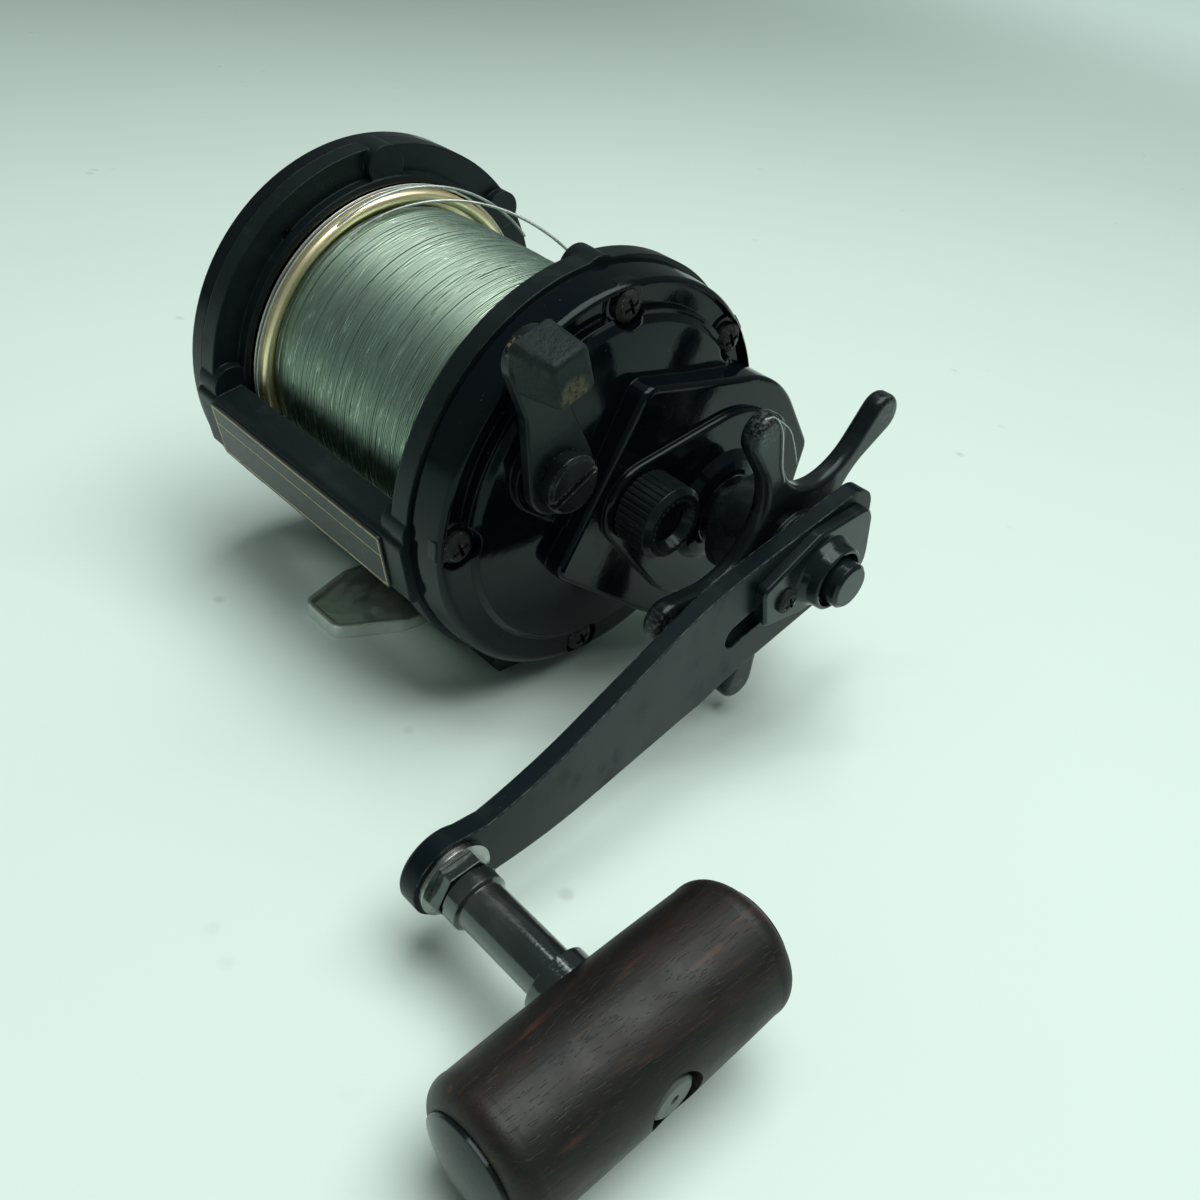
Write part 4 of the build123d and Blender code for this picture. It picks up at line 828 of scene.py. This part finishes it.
def smooth_curve(marks: list[Vector], steps: int) -> list[Vector]:
    """A smooth course through marks.

    Args:
        marks: Points to pass, in order.
        steps: Points per stretch between two marks.

    Returns:
        The points.
    """
    padded = [2 * marks[0] - marks[1], *marks, 2 * marks[-1] - marks[-2]]
    course = []
    for before, here, there, after in zip(padded, padded[1:], padded[2:], padded[3:]):
        for k in range(steps):
            t = k / steps
            bend = 2 * before - 5 * here + 4 * there - after
            twist = 3 * here - before - 3 * there + after
            course.append(0.5 * (2 * here + (there - before) * t + bend * t ** 2 + twist * t ** 3))
    return [*course, marks[-1]]


def tube_along(data: bmesh.types.BMesh, points: list[Vector], radius: float, sides: int = 6,
               closed: bool = False) -> None:
    """Sweep a round section along points.

    Args:
        data: Mesh that receives the tube.
        points: Its centre line.
        radius: Its radius.
        sides: Faces round the section.
        closed: Join the last point to the first.
    """
    rings = []
    count = len(points)
    for i, point in enumerate(points):
        ahead = points[(i + 1) % count] if closed or i < count - 1 else point
        behind = points[i - 1] if closed or i > 0 else point
        forward = (ahead - behind).normalized()
        side = forward.cross(Vector((1, 0, 0)))
        if side.length < 0.05:
            side = forward.cross(Vector((0, 0, 1)))
        side.normalize()
        up = side.cross(forward)
        ring = []
        for k in range(sides):
            angle = 2 * math.pi * k / sides
            ring.append(data.verts.new(point + (side * math.cos(angle) + up * math.sin(angle)) * radius))
        rings.append(ring)
    spans = count if closed else count - 1
    for i in range(spans):
        here, there = rings[i], rings[(i + 1) % count]
        for k in range(sides):
            data.faces.new((here[k], here[(k + 1) % sides], there[(k + 1) % sides], there[k]))
    if not closed:
        data.faces.new(rings[0])
        data.faces.new(rings[-1][::-1])


def strip_box(data: bmesh.types.BMesh, place: Matrix, size: Vector) -> None:
    """Add a thin box with its edges rounded.

    Args:
        data: Mesh that receives the box.
        place: Its centre and turn.
        size: Its full lengths.
    """
    made = bmesh.ops.create_cube(data, size=1.0, matrix=place @ Matrix.Diagonal((*size, 1.0)))
    edges = list({edge for vert in made["verts"] for edge in vert.link_edges})
    bmesh.ops.bevel(data, geom=edges, offset=min(size) * 0.25, segments=2, affect="EDGES")


# ---------------------------------------------------------------- sub-assemblies
@dataclass
class ReelAxis:
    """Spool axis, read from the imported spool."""

    def spool_centre(self) -> Vector:
        """Centre of the spool."""
        low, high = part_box("spool")
        return (Vector(low) + Vector(high)) / 2

    def around(self, centre: Vector, radius: float, angle: float, x: float) -> Vector:
        """A point round an axis along X.

        Args:
            centre: A point on the axis.
            radius: Distance from it.
            angle: Direction from +Y towards +Z, in radians.
            x: Station on X.

        Returns:
            The point.
        """
        return Vector((x, centre.y + radius * math.cos(angle), centre.z + radius * math.sin(angle)))


@dataclass(frozen=True)
class Arch:
    """A slack bow of line over the top: angles in degrees, the rest in millimetres."""

    angles: tuple[float, float]
    stations: tuple[float, float]
    radii: tuple[float, float]
    bow: float
    steps: int = 48

    def course(self) -> list[tuple[float, float, float]]:
        """Radius, angle and station of each point from one end to the other.

        Returns:
            Radius in metres, angle in radians and station in metres.
        """
        places = []
        for k in range(self.steps + 1):
            share = k / self.steps
            radius = self.radii[0] + (self.radii[1] - self.radii[0]) * share
            radius += self.bow * math.sin(math.pi * share) ** 0.8
            angle = math.radians(self.angles[0] + (self.angles[1] - self.angles[0]) * share)
            station = self.stations[0] + (self.stations[1] - self.stations[0]) * share ** 1.4
            places.append((radius * MM, angle, station * MM))
        return places


@dataclass
class WoundLine(ReelAxis):
    """The line on the spool: turns laid side by side, crossing turns over them and a few loose loops."""

    line_radius: float = 0.2 * MM
    edge_drop: float = 0.55 * MM
    steps: int = 112
    crossing_turns: int = 28
    lip_face: float = 2.0 * MM
    bead: float = 0.95 * MM
    seed: int = 11
    arches: tuple[Arch, ...] = (Arch((123.0, 44.0), (-16.4, 2.4), (26.7, 28.5), 1.8),
                                Arch((123.0, 47.0), (-20.0, -12.5), (27.3, 28.4), 1.5))

    def surface(self, x: float, low: float, high: float, top: float) -> float:
        """Radius of the winding at a station: slightly crowned.

        Args:
            x: Station.
            low: Left end of the winding.
            high: Right end.
            top: Largest radius.

        Returns:
            The radius.
        """
        share = 2 * (x - low) / (high - low) - 1
        return top - self.edge_drop * abs(share) ** 5

    def wound(self, material: bpy.types.Material) -> bpy.types.Object:
        """Core and turns that stand for the plain winding.

        Args:
            material: The line's finish.

        Returns:
            The piece.
        """
        rng = random.Random(self.seed)
        box_low, box_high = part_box("line_winding")
        centre = self.spool_centre()
        low, high = box_low[0], box_high[0]
        top = (box_high[2] - box_low[2]) / 2
        data = bmesh.new()
        self.core(data, centre, low, high, top - 2.0 * self.line_radius)
        pitch = 1.9 * self.line_radius
        count = int((high - low - 2 * self.line_radius) / pitch)
        for i in range(count):
            x = low + self.line_radius * 1.2 + pitch * i
            sink = rng.uniform(0.0, 0.45) * self.line_radius
            self.turn(data, rng, centre, (x, rng.uniform(-0.2, 0.2) * pitch), (low, high), top, sink)
        for _ in range(self.crossing_turns):
            x = rng.uniform(low + 2 * MM, high - 4 * MM)
            self.turn(data, rng, centre, (x, rng.uniform(1.2, 3.2) * MM), (low, high), top, 0.0)
        return add_object("line_turns", data, material)

    def core(self, data: bmesh.types.BMesh, centre: Vector, low: float, high: float, radius: float) -> None:
        """Closed drum under the turns.

        Args:
            data: Mesh that receives it.
            centre: Point on the spool axis.
            low: Left end.
            high: Right end.
            radius: Its radius.
        """
        stations = [(low, radius - 4 * MM), (low, radius - 1 * MM), (low + 2 * MM, radius),
                    (high - 2 * MM, radius), (high, radius - 1 * MM), (high, radius - 4 * MM)]
        rings = []
        for x, r in stations:
            ring = [data.verts.new(self.around(centre, r, 2 * math.pi * k / 96, x)) for k in range(96)]
            rings.append(ring)
        for here, there in zip(rings, rings[1:] + rings[:1]):
            for k in range(96):
                data.faces.new((here[k], here[(k + 1) % 96], there[(k + 1) % 96], there[k]))

    def turn(self, data: bmesh.types.BMesh, rng: random.Random, centre: Vector, lay: tuple[float, float],
             ends: tuple[float, float], top: float, sink: float) -> None:
        """One closed turn that wanders along the spool and back.

        Args:
            data: Mesh that receives it.
            rng: Source of the wander.
            centre: Point on the spool axis.
            lay: Station and how far it wanders.
            ends: Left and right end of the winding.
            top: Largest radius of the winding.
            sink: How far it lies below that surface.
        """
        x, wander = lay
        phase = rng.uniform(0, 2 * math.pi)
        ripple = rng.uniform(0.1, 0.35) * self.line_radius
        points = []
        for k in range(self.steps):
            angle = 2 * math.pi * k / self.steps
            station = x + wander * math.sin(angle + phase)
            station = min(max(station, ends[0] + self.line_radius), ends[1] - self.line_radius)
            radius = self.surface(station, ends[0], ends[1], top) - self.line_radius - sink
            radius += ripple * math.sin(3 * angle + 2 * phase) - ripple
            points.append(self.around(centre, radius, angle, station))
        tube_along(data, points, self.line_radius, 6, closed=True)

    def loose_loops(self, material: bpy.types.Material) -> bpy.types.Object:
        """Slack loops that ride up over the left flange, and one that arches at the top.

        Args:
            material: The strand's finish.

        Returns:
            The piece.
        """
        low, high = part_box("spool")
        centre = self.spool_centre()
        flange = (high[2] - low[2]) / 2
        data = bmesh.new()
        for lift, out, phase in ((0.05, 0.3, 0.0), (0.25, 1.5, 0.9)):
            points = []
            for k in range(self.steps):
                angle = 2 * math.pi * k / self.steps
                swell = 0.5 + 0.5 * math.cos(angle - 1.9 - phase)
                radius = flange + (lift + 0.5 * swell) * MM
                points.append(self.around(centre, radius, angle, low[0] + (out + 0.6 * swell) * MM))
            tube_along(data, points, self.line_radius * 0.8, 6, closed=True)
        for arch in self.arches:
            points = [self.around(centre, *place) for place in arch.course()]
            tube_along(data, points, 1.25 * self.line_radius)
        return add_object("loose_line_loops", data, material)

    def flange_beads(self, material: bpy.types.Material) -> bpy.types.Object:
        """Rounded lips on the inner rims of both flanges.

        Args:
            material: The spool's finish.

        Returns:
            The piece.
        """
        low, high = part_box("spool")
        centre = self.spool_centre()
        radius = (high[2] - low[2]) / 2 - self.bead - 0.02 * MM
        data = bmesh.new()
        for x in (low[0] + self.lip_face, high[0] - self.lip_face):
            points = [self.around(centre, radius, 2 * math.pi * k / 144, x) for k in range(144)]
            tube_along(data, points, self.bead, 16, closed=True)
        return add_object("flange_beads", data, material)

    def build(self, finishes: Finishes) -> list[bpy.types.Object]:
        """Make the line and set it on the spool.

        Args:
            finishes: The finishes.

        Returns:
            The pieces.
        """
        wound = self.wound(finishes["wound_line"])
        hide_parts("line_winding")
        loops = self.loose_loops(finishes["clear_strand"])
        beads = self.flange_beads(finishes["gold_spool"])
        for piece, slot in ((wound, "line"), (loops, "line"), (beads, "spool_gold")):
            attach(piece, Body.SPOOL.value)
        return [wound, loops, beads]


@dataclass
class LabelTrim:
    """Thin gold border and rules on the bare label plate."""

    line_width: float = 0.22 * MM
    inset: float = 0.55 * MM
    height: float = 0.04 * MM
    rule_places: tuple[float, ...] = (0.36,)

    def build(self, finishes: Finishes) -> list[bpy.types.Object]:
        """Make the border and rules.

        Args:
            finishes: The finishes.

        Returns:
            The pieces.
        """
        frame, centre, size = self.face()
        data = bmesh.new()
        half_long = size[0] / 2 - self.inset
        half_tall = size[1] / 2 - self.inset
        for side in (-1, 1):
            self.line(data, frame, centre, (0, side * half_tall), (2 * half_long, self.line_width))
            self.line(data, frame, centre, (side * half_long, 0), (self.line_width, 2 * half_tall))
        for share in self.rule_places:
            across = half_tall * (1 - 2 * share)
            self.line(data, frame, centre, (0, across), (2 * half_long, self.line_width * 0.7))
        trim = add_object("label_rules", data, finishes["gold_rule"], smooth=False)
        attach(trim, Body.REEL.value)
        return [trim]

    def face(self) -> tuple[Matrix, Vector, tuple[float, float]]:
        """Turn, centre and size of the plate's outer face.

        Returns:
            The rotation (X along the plate, Y up it, Z outwards), the centre and the two lengths.
        """
        mesh = bpy.data.objects["label_plate"].data
        outer = max(mesh.polygons, key=lambda face: face.area)
        normal = outer.normal.copy()
        along = Vector((1, 0, 0))
        if normal.y > 0:
            normal.negate()
        up = normal.cross(along)
        if up.z < 0:
            up.negate()
        reach = [Vector((v.co.dot(along), v.co.dot(up), v.co.dot(normal))) for v in mesh.vertices]
        lows = [min(p[i] for p in reach) for i in range(3)]
        highs = [max(p[i] for p in reach) for i in range(3)]
        middle = along * (lows[0] + highs[0]) / 2 + up * (lows[1] + highs[1]) / 2 + normal * highs[2]
        turn = Matrix((along, up, normal)).transposed()
        return turn, middle, (highs[0] - lows[0], highs[1] - lows[1])

    def line(self, data: bmesh.types.BMesh, turn: Matrix, centre: Vector, at: tuple[float, float],
             size: tuple[float, float]) -> None:
        """One straight line on the plate.

        Args:
            data: Mesh that receives it.
            turn: The plate's turn.
            centre: The plate's centre.
            at: Place along and up the plate.
            size: Length along and up the plate.
        """
        place = Matrix.Translation(centre + turn @ Vector((at[0], at[1], 0))) @ turn.to_4x4()
        strip_box(data, place, Vector((size[0], size[1], self.height)))


@dataclass
class ClutchLever:
    """Places on the clutch lever that its finish needs."""

    rubbed_edge: Point = (0.0388, -0.0288, 0.0680)


@dataclass
class StarWheel:
    """Places on the star wheel that its finish needs."""

    arms: int = 5
    reach: float = 28.2 * MM
    first: float = math.radians(48.0)
    hub: Point = (0.0565, 0.019408, 0.032781)

    def tip_places(self) -> tuple[Point, ...]:
        """Centre of the outer side of each arm's tip.

        Returns:
            The places.
        """
        places = []
        for i in range(self.arms):
            angle = self.first + 2 * math.pi * i / self.arms
            places.append((self.hub[0], self.hub[1] + self.reach * math.cos(angle),
                           self.hub[2] + self.reach * math.sin(angle)))
        return tuple(places)


@dataclass
class StrayFibre:
    """Two ends of thin clear line caught on the star's top arm."""

    radius: float = 0.1 * MM
    face: float = 0.0567
    ends: tuple[tuple[tuple[float, float], ...], ...] = (
        ((-3.0, -1.0), (-1.5, 1.0), (2.0, 2.0), (6.0, 1.5), (9.0, 1.0), (12.5, 1.0)),
        ((-1.5, 1.0), (2.5, 3.0), (6.5, 3.5), (10.5, 3.5)),
    )

    def build(self, finishes: Finishes) -> list[bpy.types.Object]:
        """Make the ends.

        Args:
            finishes: The finishes.

        Returns:
            The piece.
        """
        star = StarWheel()
        tip = Vector(star.tip_places()[1])
        inward = (Vector(star.hub) - tip).normalized()
        across = inward.cross(Vector((1, 0, 0)))
        across = across if across.y > 0 else -across
        data = bmesh.new()
        for number, places in enumerate(self.ends):
            marks = [tip + inward * depth * MM + across * side * MM for depth, side in places]
            for mark in marks:
                mark.x = self.face + 0.4 * MM * number
            tube_along(data, smooth_curve(marks, 9), self.radius, 5)
        strand = add_object("stray_fibre", data, finishes["clear_strand"])
        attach(strand, Body.STAR.value)
        return [strand]


@dataclass
class KnobTrim:
    """Beaded ring round the dish of the cast control knob."""

    beads: int = 26
    ring: float = 4.35 * MM
    bead: float = 0.34 * MM

    def build(self, finishes: Finishes) -> list[bpy.types.Object]:
        """Make the beads.

        Args:
            finishes: The finishes.

        Returns:
            The piece.
        """
        low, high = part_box("cast_control_knob")
        centre = (Vector(low) + Vector(high)) / 2
        data = bmesh.new()
        for i in range(self.beads):
            angle = 2 * math.pi * i / self.beads
            place = Vector((high[0] - 0.22 * MM, centre.y + self.ring * math.cos(angle),
                            centre.z + self.ring * math.sin(angle)))
            bmesh.ops.create_icosphere(data, subdivisions=2, radius=self.bead,
                                       matrix=Matrix.Translation(place))
        ring = add_object("knob_beads", data, finishes["dull_cap"])
        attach(ring, Body.KNOB.value)
        return [ring]


@dataclass
class ReturnSprings:
    """Two coil springs round the yoke's posts."""

    wire: float = 0.25 * MM
    outer: float = 2.0 * MM
    turns: int = 5
    steps: int = 20
    stroke: float = 1.05 * MM

    def build(self, finishes: Finishes) -> list[bpy.types.Object]:
        """Wind the springs.

        Args:
            finishes: The finishes.

        Returns:
            The piece.
        """
        low, high = (Vector(corner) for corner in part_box("yoke_springs"))
        data = bmesh.new()
        inset = Vector((0.0, self.outer, self.outer))
        for centre in (low + inset, high - inset):
            self.coil(data, centre, low.x + self.wire, high.x - self.wire)
        coils = add_object("return_springs", data, finishes["turned_steel"])
        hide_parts("yoke_springs")
        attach(coils, Body.REEL.value)
        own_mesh(coils)
        return [coils]

    def coil(self, data: bmesh.types.BMesh, centre: Vector, start: float, end: float) -> None:
        """Wind one spring along X.

        Args:
            data: Mesh that receives it.
            centre: A point on its axis.
            start: Station of its first turn.
            end: Station of its last turn.
        """
        points = []
        count = self.turns * self.steps
        radius = self.outer - self.wire
        for k in range(count + 1):
            angle = 2 * math.pi * k / self.steps
            points.append(Vector((start + (end - start) * k / count, centre.y + radius * math.cos(angle),
                                  centre.z + radius * math.sin(angle))))
        tube_along(data, points, self.wire, 8)


# ---------------------------------------------------------------- studio
@dataclass
class Studio:
    """Camera, pale table and soft lamps."""

    eye: Point = (0.14007, -0.12536, 0.12718)
    tilt: tuple[float, float, float] = (55.48, -9.54, 45.97)
    lens: float = 36.0
    floor_size: float = 6.0
    world: Colour = (0.80, 0.92, 0.88)
    world_level: float = 0.17

    def camera(self) -> None:
        """Set the camera."""
        data = bpy.data.cameras.new("camera")
        data.lens = self.lens
        data.sensor_width = 36.0
        data.clip_start = 0.01
        made = bpy.data.objects.new("camera", data)
        made.location = self.eye
        made.rotation_euler = Euler([math.radians(a) for a in self.tilt])
        bpy.context.scene.collection.objects.link(made)
        bpy.context.scene.camera = made

    def lamp(self, name: str, place: Point, aim: Point, size: tuple[float, float], power: float,
             colour: Colour) -> None:
        """Add a soft rectangular lamp.

        Args:
            name: Its name.
            place: Its centre.
            aim: The point that it faces.
            size: Its width and height.
            power: Watts.
            colour: Its colour.
        """
        data = bpy.data.lights.new(name, "AREA")
        data.shape = "RECTANGLE"
        data.size, data.size_y = size
        data.energy = power
        data.color = colour
        made = bpy.data.objects.new(name, data)
        made.location = place
        made.rotation_euler = (Vector(aim) - Vector(place)).to_track_quat("-Z", "Y").to_euler()
        bpy.context.scene.collection.objects.link(made)

    def lights(self) -> None:
        """Set the lamps."""
        self.lamp("ceiling", (0.17, 0.08, 0.85), (0.08, 0.03, 0.0), (0.74, 0.74), 7.7, (1.0, 1.0, 0.98))
        self.lamp("window", (-0.05, -0.16, 0.62), (0.02, 0.0, 0.04), (0.04, 0.22), 0.25, (0.97, 1.0, 1.0))

    def table(self, finishes: Finishes) -> None:
        """Set the floor under the reel.

        Args:
            finishes: The finishes.
        """
        data = bmesh.new()
        bmesh.ops.create_grid(data, x_segments=8, y_segments=8, size=self.floor_size / 2)
        floor = add_object("table", data, finishes["pale_table"], smooth=False)

    def sky(self) -> None:
        """Set a pale even world."""
        world = bpy.data.worlds.new("studio")
        bpy.context.scene.world = world
        world.use_nodes = True
        back = world.node_tree.nodes["Background"]
        back.inputs["Color"].default_value = (*self.world, 1.0)
        back.inputs["Strength"].default_value = self.world_level

    def build(self, finishes: Finishes) -> None:
        """Set everything that isn't the reel.

        Args:
            finishes: The finishes.
        """
        bpy.context.scene.view_settings.view_transform = "Standard"
        self.camera()
        self.table(finishes)
        self.sky()
        self.lights()


# ---------------------------------------------------------------- assembly
def dress_nodes(nodes: dict[str, bpy.types.Object], finishes: Finishes) -> None:
    """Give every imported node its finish.

    Args:
        nodes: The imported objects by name.
        finishes: The finishes.
    """
    for finish, names in NODE_FINISH.items():
        for name in names:
            for slot in nodes[name].material_slots:
                slot.material = finishes[finish]
            LOG.info("node %s: %s", name, finish)
    missing = set(nodes) - {name for names in NODE_FINISH.values() for name in names}
    if missing:
        LOG.warning("nodes without a finish: %s", sorted(missing))


def build_reel() -> None:
    """Load the reel, dress it and set the studio."""
    logging.basicConfig(level=logging.INFO, format="%(name)s: %(message)s")
    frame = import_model()
    finishes = Finishes()
    Studio().build(finishes)
    dress_nodes(frame["nodes"], finishes)
    for group in (WoundLine(), LabelTrim(), StrayFibre(), KnobTrim(), ReturnSprings()):
        for piece in group.build(finishes):
            LOG.info("piece %s: %d faces", piece.name, len(piece.data.polygons))


if __name__ == "__main__":
    build_reel()
